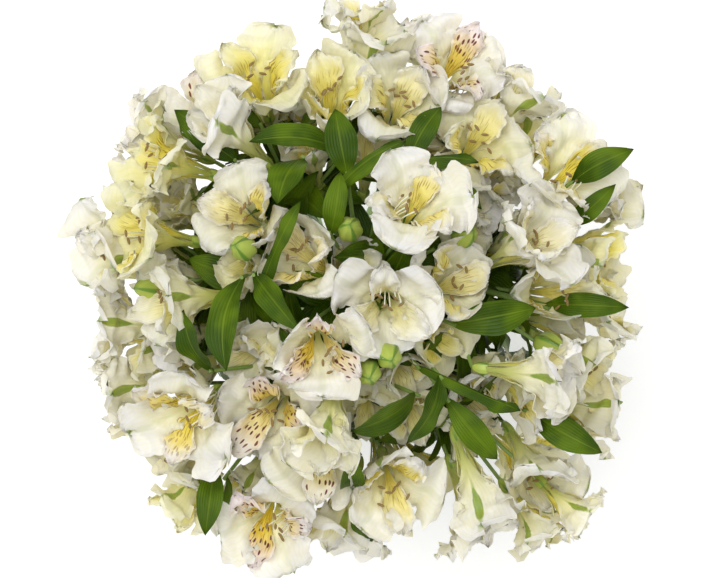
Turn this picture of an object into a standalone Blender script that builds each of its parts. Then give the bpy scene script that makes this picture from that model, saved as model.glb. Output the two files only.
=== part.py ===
"""A hand-tied bunch of white alstroemeria that stands on its cut stems.

Ten stems cross in a spiral at a twine tie. Each ends in an umbel: a hub with
whorl leaves, rays, green ovaries and buds, all one green piece. Each bloom on a
ray is a piece of its own, six tepals joined at the base. Every blade in the head
has room of its own, bounded by flat walls midway to its neighbours, and what
would reach past a wall is bent back from it, so nothing crosses.
"""

import math
import random

import bmesh
import bpy
import numpy as np
from mathutils import Matrix, Vector

# Driving sizes, in metres and degrees.
HEAD_CENTRE = Vector((0.0, 0.0, 0.240))
FLATNESS = 0.78  # the dome's height over its radius
LEAF_RADIUS = 0.146  # head centre to the middle of a leaf that shows
HUB_RADIUS = 0.062  # head centre to an umbel's hub
TIE_HEIGHT = 0.130
WAIST_RADIUS = 0.0088  # tie's axis to the middle of an outer stem
STEM_LEAN = math.radians(29)  # from upright, where an outer stem passes the tie
TWIST = math.radians(72)  # how far round an outer stem passes the tie before its hub
KNEE_RISE = 0.030  # above the tie, where an outer stem starts to bend towards its hub
MIDDLE_STEM_OFFSET = 0.0034
UPRIGHT_FOOT = 0.030  # how high the middle stem rises before it bends to the tie
UNDER_FLOOR = 0.010  # how far a stem runs on below the floor before it is cut level
STEM_RADIUS = 0.0025
HUB_STEM_RADIUS = 0.0021
RAY_RADIUS = 0.0011
OVARY_RADIUS = 0.0034
OVARY_LENGTH = 0.008
NECK_RADIUS = 0.0013  # of a ray, just under its ovary
CUP_LENGTH = 0.0065  # the short cup that a bloom's tepals grow from
CUP_RADIUS = 0.0042
TEPAL_LENGTH = 0.053
OUTER_WIDTH = 0.033
INNER_WIDTH = 0.020
BLOOM_DEPTH = 0.038  # from a bloom's base to the middle of its mouth
TEPAL_FOOT = 0.0028  # from a bloom's axis to where a tepal starts
BASE_LEAN = math.radians(7)  # of a tepal's base, away from its bloom's axis
CLOSED_LEAN = math.radians(26)  # of a tepal's tip in a closed bloom
OPEN_LEAN = math.radians(94)  # of a tepal's tip in a fully open bloom
LEAN_POWER = 1.4  # a tepal leans out mostly towards its tip
OUTER_OUTLINE = (2.2, 0.6)  # how slowly a tepal broadens from its base, and how pointed its tip is
INNER_OUTLINE = (2.4, 1.0)
OUTER_WRAP = 2.2  # how much flatter across a tepal gets towards its tip
INNER_WRAP = 1.2
BLADE_THICKNESS = 0.0011  # at the midrib, and a sharp edge at each side
SEAT_GAP = 0.0003
TWINE_RADIUS = 0.0011
TIE_TURNS = 3
TIE_STEPS = 12  # flats round the tie
TIE_INNER_RADIUS = 0.0120
WALL_GAP = 0.0007  # from a blade's middle surface to the wall beside it
INNER_LENGTH = 1.06  # inner tepals' length over the outer ones'
INNER_SHARE = 0.80  # inner tepals' distance from the bloom's axis, as a share of the outer ones'
SLIVERS = (0.00002, 0.000006, 0.000002)  # points nearer than the first of these that works are made one
GOLDEN_SHARE = 0.618  # steps of this spread out evenly
BUD_LENGTH = 0.022
BUD_WIDTH = 0.0125
BUD_ROOT_SHARE = 1.15  # a bud's width at its root and at its tip, as shares of its width in the middle
BUD_TIP_SHARE = 0.80
BUD_SEAT = 0.001  # how far a bud's root goes into its stalk
STALK_SEAT = 0.003  # how far a stalk's end goes into its bud or leaf
LEAF_OUTLINE = (1.05, 0.85)
LEAF_FOLD = 0.18  # how far a leaf's sides rise from its midrib, as a share of the way across
LEAF_ARCH = 0.10  # how far a leaf arches out, as a share of its length
LOW_LEAF_ARCH = 0.08
LOW_LEAF_WIDTH = 0.018
INNER_STEMS = 4  # the rest stand round the head's rim, with leaves below it and one fewer in the whorl
WHORL_LEAVES = 3  # under each umbel
WHORL_LEAF_LENGTH = 0.056
WHORL_CHOICES = 24  # the ways that a whorl leaf may turn
WHORL_RISE = 0.55  # how steeply it rises from the hub, against how far it goes out
WHORL_OUT = 0.83
LEAST_BLOOM_ROOM = 0.0065  # from a bloom's axis to a wall beside it
LEAST_LEAF_ROOM = 0.0035
WALL_REACH = 2.6  # things further apart than this many times their own room need no wall
ROUNDING = 8  # how sharply blades turn where two walls meet
FREE_SHARE = 0.7  # a blade that fills less of its room than this isn't bent
KEPT_BY_RISING = 0.5  # how much of what a bent blade loses it gains along its bloom's axis
TOUCHING = 0.004  # a leaf whose line comes this near its own stem's grows from it

# How much room each thing takes in the head, as the radius round its line.
BLOOM_SPREAD = 0.0245
LEAF_SPREAD = 0.0100
BUD_SPREAD = 0.0070
RAY_SPREAD = 0.0030

# The photograph looks straight down on the bunch. These place things by it.
PHOTO_CENTRE = (350, 288)
METRES_PER_PIXEL = 0.00055

# Each bloom: where its middle shows, how far it is open from 0 to 1, how many millimetres it stands out of
# the dome, and where it leans to and how much, both in degrees.
BLOOMS = [
    (362, 35, 0.65, 0, 90, 0), (450, 33, 0.55, -4, 60, 0), (515, 95, 0.50, 5, 50, 12),
    (570, 130, 0.75, -8, 0, 0), (612, 190, 0.45, 0, 0, 0), (612, 252, 0.80, -2, 0, 0),
    (608, 315, 0.70, 4, 0, 0), (600, 375, 0.75, -4, 0, 0), (598, 428, 0.50, 3, 0, 0),
    (560, 500, 0.65, -4, 0, 0), (500, 520, 0.70, 0, 0, 0), (430, 510, 0.80, -10, 0, 0),
    (345, 537, 0.70, 0, 0, 0), (268, 500, 1.00, 10, 70, 40), (190, 485, 0.80, -5, 0, 0),
    (150, 440, 0.80, 3, 0, 0), (112, 400, 0.45, -3, 0, 0), (118, 330, 0.70, 4, 0, 0),
    (98, 240, 0.55, 0, 0, 0), (140, 165, 0.85, -6, 0, 0), (150, 115, 0.50, 0, 0, 0),
    (208, 120, 0.95, -6, 310, 35), (262, 106, 0.85, 6, 300, 30), (308, 97, 0.85, -8, 280, 25),
    (440, 85, 1.00, 6, 250, 40), (395, 95, 0.75, -10, 260, 28), (480, 140, 0.95, -12, 230, 28),
    (542, 188, 1.00, 10, 200, 30), (520, 262, 0.60, 4, 90, 12), (556, 292, 0.95, -4, 180, 28),
    (500, 362, 0.55, 15, 0, 32), (545, 395, 0.75, -12, 0, 0), (530, 465, 0.90, 7, 135, 30),
    (465, 455, 0.22, 12, 290, 30), (388, 478, 0.90, -3, 100, 30), (322, 452, 0.80, -10, 80, 20),
    (270, 425, 0.95, -15, 60, 25), (215, 400, 1.00, 10, 40, 15), (188, 301, 0.55, -8, 0, 0),
    (168, 235, 0.95, 4, 200, 8), (195, 180, 0.90, 13, 190, 22), (250, 144, 0.45, 10, 150, 12),
    (246, 214, 0.95, -10, 320, 20), (305, 262, 0.95, -15, 0, 0), (400, 228, 1.00, 15, 120, 8),
    (440, 290, 0.95, -12, 0, 0), (382, 305, 0.85, 0, 0, 0), (322, 345, 1.00, 13, 0, 0),
    (350, 392, 0.30, 12, 255, 22),
]

# Which way the upper side of a bloom that shows well points, in degrees round from the right.
UPPER_SIDES = {14: 185, 25: 120, 28: 80, 38: 200, 45: 10, 48: 150}

# Each leaf that shows: its middle, where its tip points, its length and its width in millimetres.
LEAVES = [
    (300, 140, 180, 52, 17), (342, 142, 100, 36, 16), (366, 166, 35, 48, 20), (430, 162, 5, 50, 18),
    (425, 133, 60, 35, 13), (290, 177, 255, 36, 20), (205, 135, 140, 42, 18), (230, 112, 155, 35, 12),
    (275, 250, 60, 58, 13), (230, 320, 265, 52, 20), (195, 345, 100, 40, 14), (272, 300, 315, 44, 15),
    (598, 170, 30, 38, 16), (588, 204, 40, 34, 12), (495, 318, 10, 45, 18), (588, 306, 0, 44, 12),
    (388, 415, 200, 42, 22), (428, 410, 240, 40, 18), (470, 392, 335, 60, 18), (475, 432, 310, 44, 14),
    (565, 432, 330, 42, 16), (350, 480, 90, 36, 12), (235, 515, 275, 38, 13), (460, 192, 320, 28, 14),
    (365, 525, 280, 32, 10), (335, 205, 80, 34, 12),
]

# Where each unopened bud shows, and how many millimetres its tip stands out of the leaves.
BUDS = [
    (243, 248, 9), (368, 370, 14), (388, 354, 14), (470, 232, 2), (350, 226, 0), (455, 212, 0),
    (135, 288, 0), (566, 350, 0),
]

# Each stem's umbel starts here: degrees down from the top, and degrees round from the right.
HUB_STARTS = [(8, 0)] + [(42, 30 + 120 * k) for k in range(3)] + [(82, 60 * k) for k in range(6)]

ALONG_VIEW_RADIUS = 0.131  # head centre to the middle of a bloom, where the photograph shows it
BLOOMS_APART = 0.037  # what neighbouring blooms' middles are eased apart to
BLOOM_FROM_LEAF = 0.020
RIM = 0.128  # blooms that show further out than this face sideways
PAST_EDGE = 0.6  # how far down past the dome's edge a thing goes, for each radius that it shows past it
OUTWARD_POWER = 0.62  # the rest lean out further than the dome's slope, and most so near the top
RIM_DOWN = math.radians(66)
RIM_SPAN = math.radians(26)
RIM_SHARE = 0.87  # a sideways bloom's petals show further out than its middle lies
SMALL_LEAN = 17  # degrees, for a bloom whose own lean the photograph doesn't tell
LEAN_APART = 137.5  # degrees from the way that one such bloom leans to the way that the next does
LOWEST_BLOOM = math.radians(100)
CLOSED_BLOOM_EXTRA = 0.010  # how much longer a closed bloom's line is than an open one's
ROLL_SPREAD = 0.6  # radians either way, by which a bloom's upper side strays from straight up
NEARLY_UP = 0.35  # a bloom whose axis is this near to straight up has no upper side of its own
SETTLING_STEPS = 60
SETTLING_SHARE = 0.5  # how much of each push is followed in a step
PUSH_FROM_BLOOM = 0.5
PUSH_FROM_LEAF = 0.7
GROUPING_STEPS = 12
LEAF_BACK = 0.85  # a showing leaf's root lies this far back from its middle, and its tip this far on
LEAF_DEEP = 0.75  # its root lies this far into the head, and its tip this far out, all of half its length
LEAF_ON = 0.95
LEAF_PROUD = 0.25
SHOULDER_LIFT = 0.006  # how far a stem's line swings past straight between its knee and its hub
HUB_DEPTH = 0.003  # how far a stem runs on past its hub
TRUNK_ROOM = 0.001  # what a leaf keeps clear of a stem, beyond its radius


def polar(down, around):
    """A unit vector some radians down from the top and round from the right."""
    level = math.sin(down)
    return Vector((level * math.cos(around), level * math.sin(around), math.cos(down)))


def on_dome(direction, radius):
    """Where something goes that lies that far from the head's centre before the dome is flattened."""
    return HEAD_CENTRE + Vector((direction.x, direction.y, direction.z * FLATNESS)) * radius


def outward(direction):
    """The way the flattened dome faces at a direction from its centre."""
    return Vector((direction.x, direction.y, direction.z / FLATNESS)).normalized()


def seen_at(x, y, radius):
    """The direction, from the head's centre, of what shows at a pixel and lies at that radius."""
    across = (x - PHOTO_CENTRE[0]) * METRES_PER_PIXEL
    up = (PHOTO_CENTRE[1] - y) * METRES_PER_PIXEL
    beyond = math.hypot(across, up) / radius
    down = math.asin(min(1.0, beyond)) + PAST_EDGE * max(0.0, beyond - 1.0)
    return polar(down, math.atan2(up, across))


class Reach:
    """A line in the head that something fills, from root to tip, and the walls round it."""

    def __init__(self, root, tip, spread, piece):
        self.root = root
        self.tip = tip
        self.spread = spread
        self.piece = piece
        self.least_room = LEAST_BLOOM_ROOM if piece[0] == "bloom" else min(spread, LEAST_LEAF_ROOM)
        self.normals = []
        self.limits = []

    def axis(self):
        return (self.tip - self.root).normalized()


def nearest_points(first, second):
    """The points of two reaches' lines that lie nearest each other."""
    along_a = first.tip - first.root
    along_b = second.tip - second.root
    between = first.root - second.root
    a = along_a.length_squared
    b = along_a.dot(along_b)
    e = along_b.length_squared
    c = along_a.dot(between)
    f = along_b.dot(between)
    spare = a * e - b * b
    s = min(1.0, max(0.0, (b * f - c * e) / spare)) if spare > 1e-14 else 0.0
    t = (b * s + f) / e
    if not 0.0 <= t <= 1.0:
        t = min(1.0, max(0.0, t))
        s = min(1.0, max(0.0, (b * t - c) / a))
    return first.root + along_a * s, second.root + along_b * t


def wall_between(first, second):
    """Puts a flat wall between two reaches, nearer the slimmer one."""
    here, there = nearest_points(first, second)
    apart = (there - here).length
    if apart > WALL_REACH * (first.spread + second.spread) or apart < 1e-6:
        return
    upright = (there - here) / apart
    share = first.spread / (first.spread + second.spread)
    normal, place = upright, upright.dot(here) + share * apart
    if "bloom" in (first.piece[0], second.piece[0]):
        normal, place = leaning_wall(first, second, upright, share)
    first.normals.append(normal)
    first.limits.append(place - WALL_GAP)
    second.normals.append(-normal)
    second.limits.append(-place - WALL_GAP)


def leaning_wall(first, second, upright, share):
    """A wall square to the line between two tips, so that a bloom that stands out spreads over what is
    lower. It leans less where it would come too near either reach's own line."""
    between_tips = (second.tip - first.tip).normalized()
    least = first.least_room + second.least_room
    for lean in (1.0, 0.8, 0.6, 0.4, 0.2, 0.0):
        normal = upright.lerp(between_tips, lean).normalized()
        near = max(normal.dot(first.root), normal.dot(first.tip))
        far = min(normal.dot(second.root), normal.dot(second.tip))
        if far - near > least:
            middle = normal.dot(first.tip.lerp(second.tip, share))
            return normal, max(near + first.least_room, min(far - second.least_room, middle))
    return normal, near + (far - near) * first.least_room / least


def feet_on_line(points, reach):
    """The nearest points of a reach's line to some points."""
    root = np.array(reach.root)
    line = np.array(reach.tip) - root
    share = np.clip((points - root) @ line / (line @ line), 0.0, 1.0)
    return root + share[:, None] * line


def shrink_to_walls(points, reach):
    """How much nearer its line each point has to be, to stay inside the walls."""
    feet = feet_on_line(points, reach)
    normals = np.array(reach.normals)
    room = np.array(reach.limits)[None, :] - feet @ normals.T
    wanted = (points - feet) @ normals.T
    share = np.clip(wanted / np.maximum(room, 1e-5), 0.0, None)
    filled = (share**ROUNDING).sum(axis=1) ** (1 / ROUNDING)
    last = 1 - FREE_SHARE
    eased = 1 - last * np.exp(-(filled - FREE_SHARE) / last)
    return feet, np.where(filled > FREE_SHARE, eased / np.maximum(filled, 1e-9), 1.0)


def bent_clear(points, reach, share=1.0):
    """Points bent back from the walls, and up along the line by some of what they lose. A share below 1 sets
    them inside what has the whole share."""
    feet, scale = shrink_to_walls(points, reach)
    lost = (1 - scale) * np.linalg.norm(points - feet, axis=1)
    points = points + KEPT_BY_RISING * lost[:, None] * np.array(reach.axis())
    feet, scale = shrink_to_walls(points, reach)
    return feet + (points - feet) * scale[:, None] * share


def settle(directions, fixed):
    """Blooms' directions eased apart, away from each other and from the leaves that show."""
    directions = [d.copy() for d in directions]
    apart = BLOOMS_APART / ALONG_VIEW_RADIUS
    from_leaf = BLOOM_FROM_LEAF / LEAF_RADIUS
    for _ in range(SETTLING_STEPS):
        moves = [Vector() for _ in directions]
        for i, one in enumerate(directions):
            others = [(other, apart, PUSH_FROM_BLOOM) for j, other in enumerate(directions) if j != i]
            others += [(leaf, from_leaf, PUSH_FROM_LEAF) for leaf in fixed]
            for other, wanted, share in others:
                away = one - other
                if 1e-9 < away.length < wanted:
                    moves[i] += away.normalized() * (wanted - away.length) * share
        for one, move in zip(directions, moves):
            one += move * SETTLING_SHARE
            one.normalize()
            down = math.acos(max(-1.0, min(1.0, one.z)))
            if down > LOWEST_BLOOM:
                one.xyz = polar(LOWEST_BLOOM, math.atan2(one.y, one.x))
    return directions


def group_into_stems(directions):
    """Each bloom's stem, and each stem's hub direction: the middle of its blooms."""
    hubs = [polar(math.radians(down), math.radians(around)) for down, around in HUB_STARTS]
    for _ in range(GROUPING_STEPS):
        stems = [max(range(len(hubs)), key=lambda k: hubs[k].dot(d)) for d in directions]
        for k in range(len(hubs)):
            own = [d for d, stem in zip(directions, stems) if stem == k]
            if own:
                hubs[k] = sum(own, Vector()).normalized()
    return stems, hubs


def nearest_hub(direction, hubs):
    return max(range(len(hubs)), key=lambda k: hubs[k].dot(direction))


class Layout:
    """Where everything in the bunch is: blooms, leaves, buds, rays, stalks and stems."""

    def __init__(self):
        leaf_lines = [self.leaf_line(*leaf) for leaf in LEAVES]
        discs = [
            self.unflattened(root.lerp(tip, share))
            for root, tip in leaf_lines
            for share in (0.35, 0.85)
        ]
        discs += [seen_at(x, y, LEAF_RADIUS) for x, y, _ in BUDS]
        places = [self.bloom_place(i, x, y) for i, (x, y, *_) in enumerate(BLOOMS)]
        directions = settle([place.normalized() for place in places], discs)
        self.stem_of_bloom, hub_directions = group_into_stems(directions)
        self.hubs = [on_dome(d, HUB_RADIUS) for d in hub_directions]
        self.blooms = [self.bloom_reach(i, d, places[i].length) for i, d in enumerate(directions)]
        self.rays = [
            Reach(self.hubs[stem], bloom.root - bloom.axis() * OVARY_LENGTH, RAY_SPREAD, ("stem", stem))
            for stem, bloom in zip(self.stem_of_bloom, self.blooms)
        ]
        self.leaves = []
        self.stalks = []
        for root, tip in leaf_lines:
            stem = nearest_hub(self.unflattened(root), hub_directions)
            self.leaves.append(Reach(root, tip, LEAF_SPREAD, ("stem", stem)))
            self.stalks.append(Reach(self.hubs[stem], root, RAY_SPREAD, ("stem", stem)))
        self.buds = []
        for x, y, stands_out in BUDS:
            direction = seen_at(x, y, LEAF_RADIUS)
            out = outward(direction)
            stem = nearest_hub(direction, hub_directions)
            root = on_dome(direction, LEAF_RADIUS) + out * (stands_out * 0.001 - BUD_LENGTH)
            self.buds.append(Reach(root, root + out * BUD_LENGTH, BUD_SPREAD, ("stem", stem)))
            self.stalks.append(Reach(self.hubs[stem], root, RAY_SPREAD, ("stem", stem)))
        self.paths = self.stem_paths()
        self.trunks = [
            Reach(low, high, STEM_RADIUS + TRUNK_ROOM, ("stem", k))
            for k, path in enumerate(self.paths)
            for low, high in zip(path[1:], path[2:])
        ]
        self.low_leaves = self.low_leaf_reaches() + self.whorl_leaf_reaches()
        self.put_up_walls()

    @staticmethod
    def unflattened(place):
        """The direction from the head's centre that a place would lie in on a round dome."""
        away = place - HEAD_CENTRE
        return Vector((away.x, away.y, away.z / FLATNESS)).normalized()

    @staticmethod
    def leaf_line(x, y, points_to, length, width):
        """A showing leaf's line: it leans from inside the head out over the dome."""
        direction = seen_at(x, y, LEAF_RADIUS)
        out = outward(direction)
        angle = math.radians(points_to)
        across = Vector((math.cos(angle), math.sin(angle), 0.0))
        across = (across - out * across.dot(out)).normalized()
        middle = on_dome(direction, LEAF_RADIUS)
        half = 0.5 * length * 0.001
        root = middle - across * half * LEAF_BACK - out * half * LEAF_DEEP
        tip = middle + across * half * LEAF_ON + out * half * LEAF_PROUD
        return root, tip

    @staticmethod
    def bloom_place(i, x, y):
        """A bloom's middle, from the head's centre: on the dome, or past it where it shows there."""
        across = (x - PHOTO_CENTRE[0]) * METRES_PER_PIXEL
        up = (PHOTO_CENTRE[1] - y) * METRES_PER_PIXEL
        seen = math.hypot(across, up)
        around = math.atan2(up, across)
        if seen < RIM:
            return polar(math.asin(seen / ALONG_VIEW_RADIUS), around) * ALONG_VIEW_RADIUS
        down = RIM_DOWN + RIM_SPAN * (i * GOLDEN_SHARE % 1.0)
        return polar(down, around) * (RIM_SHARE * seen / math.sin(down))

    @staticmethod
    def bloom_reach(i, direction, radius):
        """A bloom's line: its middle lies on its direction from the head's centre, and it may lean there."""
        _, _, open_share, stands_out, leans_to, lean = BLOOMS[i]
        if lean == 0:
            leans_to, lean = LEAN_APART * i, SMALL_LEAN
        out = outward(direction)
        down = math.acos(out.z)
        if direction.x**2 + direction.y**2 < (RIM / radius) ** 2:
            down = math.pi / 2 * (down / (math.pi / 2)) ** OUTWARD_POWER
        out = polar(down, math.atan2(direction.y, direction.x))
        towards = polar(math.pi / 2, math.radians(leans_to))
        towards = (towards - out * towards.dot(out)).normalized()
        axis = out * math.cos(math.radians(lean)) + towards * math.sin(math.radians(lean))
        middle = on_dome(direction, radius) + out * stands_out * 0.001
        root = middle - axis * BLOOM_DEPTH / 2
        length = BLOOM_DEPTH + CLOSED_BLOOM_EXTRA * (1 - open_share)
        return Reach(root, root + axis * length, BLOOM_SPREAD, ("bloom", i))

    def whorl_leaf_reaches(self):
        """Leaves under each umbel, out and up between the rays, each turned to where it has most room."""
        reaches = []
        for k, hub in enumerate(self.hubs):
            out = outward(self.unflattened(hub))
            side = out.orthogonal().normalized()
            lines = self.blooms + self.rays + self.stalks + self.leaves + self.buds
            others = [line for line in lines if line.root != hub]
            choices = []
            for step in range(WHORL_CHOICES):
                around = Matrix.Rotation(2 * math.pi * step / WHORL_CHOICES, 3, out) @ side
                tip = hub + (out * WHORL_RISE + around * WHORL_OUT) * WHORL_LEAF_LENGTH
                choices.append(Reach(hub, tip, LEAF_SPREAD, ("stem", k)))
            for _ in range(WHORL_LEAVES if k < INNER_STEMS else WHORL_LEAVES - 1):
                best = max(choices, key=lambda leaf: self.room_round(leaf, others + reaches))
                reaches.append(best)
                choices.remove(best)
        return reaches

    @staticmethod
    def room_round(leaf, others):
        """The least distance from the outer half of a leaf's line to some other lines."""
        outer_half = Reach(leaf.root.lerp(leaf.tip, 0.5), leaf.tip, LEAF_SPREAD, leaf.piece)
        pairs = [nearest_points(outer_half, other) for other in others]
        return min((here - there).length for here, there in pairs)

    def stem_paths(self):
        """Each stem's middle, from just under the floor to its hub. Nine lean the same way round the tie, as
        spokes of a twist, and the middle one stands upright against one of them."""
        step = 2 * math.pi / (len(self.hubs) - 1)
        bearings = [math.atan2(hub.y, hub.x) for hub in self.hubs]
        outer = sorted(range(1, len(self.hubs)), key=lambda k: bearings[k])
        rounds = [bearings[k] - place * step for place, k in enumerate(outer)]
        start = math.atan2(sum(map(math.sin, rounds)), sum(map(math.cos, rounds))) - TWIST
        beside = MIDDLE_STEM_OFFSET * polar(math.pi / 2, start) + Vector((0, 0, TIE_HEIGHT))
        foot = Vector((0, 0, -UNDER_FLOOR))
        paths = [[foot, Vector((0, 0, UPRIGHT_FOOT)), beside, self.hubs[0]]]
        paths += [None] * len(outer)
        for place, k in enumerate(outer):
            around = start + place * step
            waist = WAIST_RADIUS * polar(math.pi / 2, around) + Vector((0, 0, TIE_HEIGHT))
            lean = math.tan(STEM_LEAN) * polar(math.pi / 2, around + math.pi / 2) + Vector((0, 0, 1))
            knee = waist + lean * KNEE_RISE
            hub = self.hubs[k]
            shoulder = knee.lerp(hub, 0.5) + lean.normalized() * SHOULDER_LIFT
            end = hub + outward(self.unflattened(hub)) * HUB_DEPTH
            paths[k] = [waist - lean * (TIE_HEIGHT + UNDER_FLOOR), waist, knee, shoulder, end]
        return paths

    def low_leaf_reaches(self):
        """Leaves on the outer stems under the head, out and a little down, like a collar."""
        reaches = []
        for k in range(INNER_STEMS, len(self.hubs)):
            level_out = Vector((self.hubs[k].x, self.hubs[k].y, 0.0)).normalized()
            for low, high, along, turn, rise, length in COLLAR_LEAVES:
                root = self.paths[k][low].lerp(self.paths[k][high], along)
                turned = Matrix.Rotation(math.radians(turn), 3, "Z") @ level_out
                tip = root + (turned + Vector((0, 0, rise))).normalized() * length
                reaches.append(Reach(root, tip, LEAF_SPREAD, ("stem", k)))
        return reaches

    def put_up_walls(self):
        """Walls between everything that is bent and everything near it that isn't its own carrier."""
        bent = self.blooms + self.leaves + self.low_leaves
        still = self.rays + self.stalks + self.buds + self.trunks
        ray_of_bloom = dict(zip(map(id, self.blooms), self.rays))
        for i, one in enumerate(bent):
            for other in bent[i + 1 :]:
                wall_between(one, other)
            for other in still:
                here, there = nearest_points(one, other)
                own_carrier = one.piece == other.piece and (here - there).length < TOUCHING
                if not own_carrier and ray_of_bloom.get(id(one)) is not other:
                    wall_between(one, other)


# Blades.


def tepal_midline(length, opening):
    """Distances out from the bloom's axis and up along it, for points from a tepal's base to its tip."""
    along = np.linspace(0.0, 1.0, 33)
    lean = BASE_LEAN + (opening - BASE_LEAN) * along**LEAN_POWER
    step = length / (len(along) - 1)
    out = np.concatenate([[0.0], np.cumsum(0.5 * (np.sin(lean[1:]) + np.sin(lean[:-1])) * step)])
    up = np.concatenate([[0.0], np.cumsum(0.5 * (np.cos(lean[1:]) + np.cos(lean[:-1])) * step)])
    return along, out, up


def outline(along, fullness, bluntness):
    """A blade's half width along its length, as a share of its widest."""
    widest = fullness / (fullness + bluntness)
    most = widest**fullness * (1 - widest) ** bluntness
    return along**fullness * np.maximum(1 - along, 0.0) ** bluntness / most


def tepal_surface(along, across, bloom, k, open_share):
    """Points of tepal k's middle surface, with nothing pressing on it. Even tepals are outer, broad ones."""
    outer = k % 2 == 0
    opening = CLOSED_LEAN + (OPEN_LEAN - CLOSED_LEAN) * open_share
    length = TEPAL_LENGTH * (1.0 if outer else INNER_LENGTH)
    steps, out, up = tepal_midline(length, opening)
    radius = np.interp(along, steps, out) + TEPAL_FOOT
    height = np.interp(along, steps, up)
    shape = outline(along, *(OUTER_OUTLINE if outer else INNER_OUTLINE))
    side = 0.5 * (OUTER_WIDTH if outer else INNER_WIDTH) * shape * across
    wrap = radius * (1 + (OUTER_WRAP if outer else INNER_WRAP) * along)
    turn = side / wrap
    radial = radius - wrap * (1 - np.cos(turn))
    sideways = wrap * np.sin(turn)
    azimuth = math.radians(90 + 60 * k)
    axis, over, beside = bloom_frame(bloom)
    outward = beside * math.cos(azimuth) + over * math.sin(azimuth)
    round_about = over * math.cos(azimuth) - beside * math.sin(azimuth)
    base = np.array(bloom.root)
    return base + radial[:, None] * outward + sideways[:, None] * round_about + height[:, None] * axis


def bloom_frame(bloom):
    """A bloom's axis, the way its upper side faces, and the way its right side faces."""
    axis = bloom.axis()
    number = bloom.piece[1] + 1
    upward = Vector((0.0, 0.0, 1.0)) - axis * axis.z
    roll = random.Random(bloom.piece[1]).uniform(-ROLL_SPREAD, ROLL_SPREAD)
    if number in UPPER_SIDES:
        upward = polar(math.pi / 2, math.radians(UPPER_SIDES[number]))
        roll = 0.0
    elif upward.length < NEARLY_UP:
        upward = Vector((math.cos(9 * roll), math.sin(9 * roll), 0.0))
    over = (upward - axis * upward.dot(axis)).normalized()
    beside = over.cross(axis)
    turn = Matrix.Rotation(roll, 3, axis)
    return np.array(axis), np.array(turn @ over), np.array(turn @ beside)


def leaf_surface(along, across, leaf, width, arch):
    """Points of a leaf's middle surface: lance-shaped, with an arch and a fold along the midrib."""
    root = np.array(leaf.root)
    line = np.array(leaf.tip) - root
    length = np.linalg.norm(line)
    axis = line / length
    out = np.array(leaf.root - HEAD_CENTRE)
    face = out - axis * (out @ axis)
    face /= np.linalg.norm(face)
    beside = np.cross(axis, face)
    side = 0.5 * width * outline(along, *LEAF_OUTLINE) * across
    lift = arch * length * np.sin(math.pi * along) + LEAF_FOLD * np.abs(side)
    return root + (along * length)[:, None] * axis + side[:, None] * beside + lift[:, None] * face


def blade(name, rows, surface, bend):
    """A thin closed blade with sharp edges: a four-sided ball whose points move onto the bent surface's
    middle line and its two edges. Its thickness lies square to the surface there."""
    levels = np.array([0.0, *rows, 1.0])
    left, middle, right = (bend(surface(levels, 0 * levels + across)) for across in (-1.0, 0.0, 1.0))
    square = np.cross(middle[2:] - middle[:-2], right[1:-1] - left[1:-1])
    square /= np.linalg.norm(square, axis=1)[:, None]
    shape = bmesh.new()
    bmesh.ops.create_uvsphere(shape, u_segments=4, v_segments=len(levels) - 1, radius=1.0)
    row = {point: round(math.acos(point.co.z) * (len(levels) - 1) / math.pi) for point in shape.verts}
    x_side = {point: round(point.co.x, 3) for point in shape.verts}
    split_alike(shape, row, x_side)
    for point in shape.verts:
        if x_side[point] > 0:
            point.co = right[row[point]]
        elif x_side[point] < 0:
            point.co = left[row[point]]
        else:
            half = math.copysign(BLADE_THICKNESS / 2, point.co.y)
            inner_row = min(max(row[point], 1), len(rows))
            at_end = row[point] != inner_row
            point.co = middle[row[point]] + (0.0 if at_end else half) * square[inner_row - 1]
    return mesh_object(name, shape)


def split_alike(shape, row, x_side):
    """Splits a blade's four-sided faces, on both sides from the edge to the middle line one row on."""
    for face in shape.faces[:]:
        if len(face.verts) == 4:
            last = max(row[point] for point in face.verts)
            start = next(point for point in face.verts if x_side[point] and row[point] < last)
            end = next(point for point in face.verts if not x_side[point] and row[point] == last)
            bmesh.utils.face_split(face, start, end)


def mesh_object(name, shape):
    """An object from a closed shape, turned right side out."""
    if shape.calc_volume(signed=True) < 0:
        bmesh.ops.reverse_faces(shape, faces=shape.faces)
    mesh = bpy.data.meshes.new(name)
    shape.to_mesh(mesh)
    shape.free()
    return bpy.data.objects.new(name, mesh)


def tube(name, points, radii, sides):
    """A closed tube along some points, as a mesh that a Boolean can join."""
    curve = bpy.data.curves.new(name, "CURVE")
    curve.dimensions = "3D"
    curve.bevel_depth = 1.0
    curve.bevel_resolution = (sides - 4) // 2
    curve.use_fill_caps = True
    spline = curve.splines.new("POLY")
    spline.points.add(len(points) - 1)
    for point, place, radius in zip(spline.points, points, radii):
        point.co = (*place, 1.0)
        point.radius = radius
    curve_object = bpy.data.objects.new(name, curve)
    bpy.context.scene.collection.objects.link(curve_object)
    graph = bpy.context.evaluated_depsgraph_get()
    mesh = bpy.data.meshes.new_from_object(curve_object.evaluated_get(graph))
    bpy.data.objects.remove(curve_object)
    shape = bmesh.new()
    shape.from_mesh(mesh)
    bpy.data.meshes.remove(mesh)
    bmesh.ops.remove_doubles(shape, verts=shape.verts, dist=1e-6)
    bmesh.ops.recalc_face_normals(shape, faces=shape.faces)
    return mesh_object(name, shape)


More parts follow.
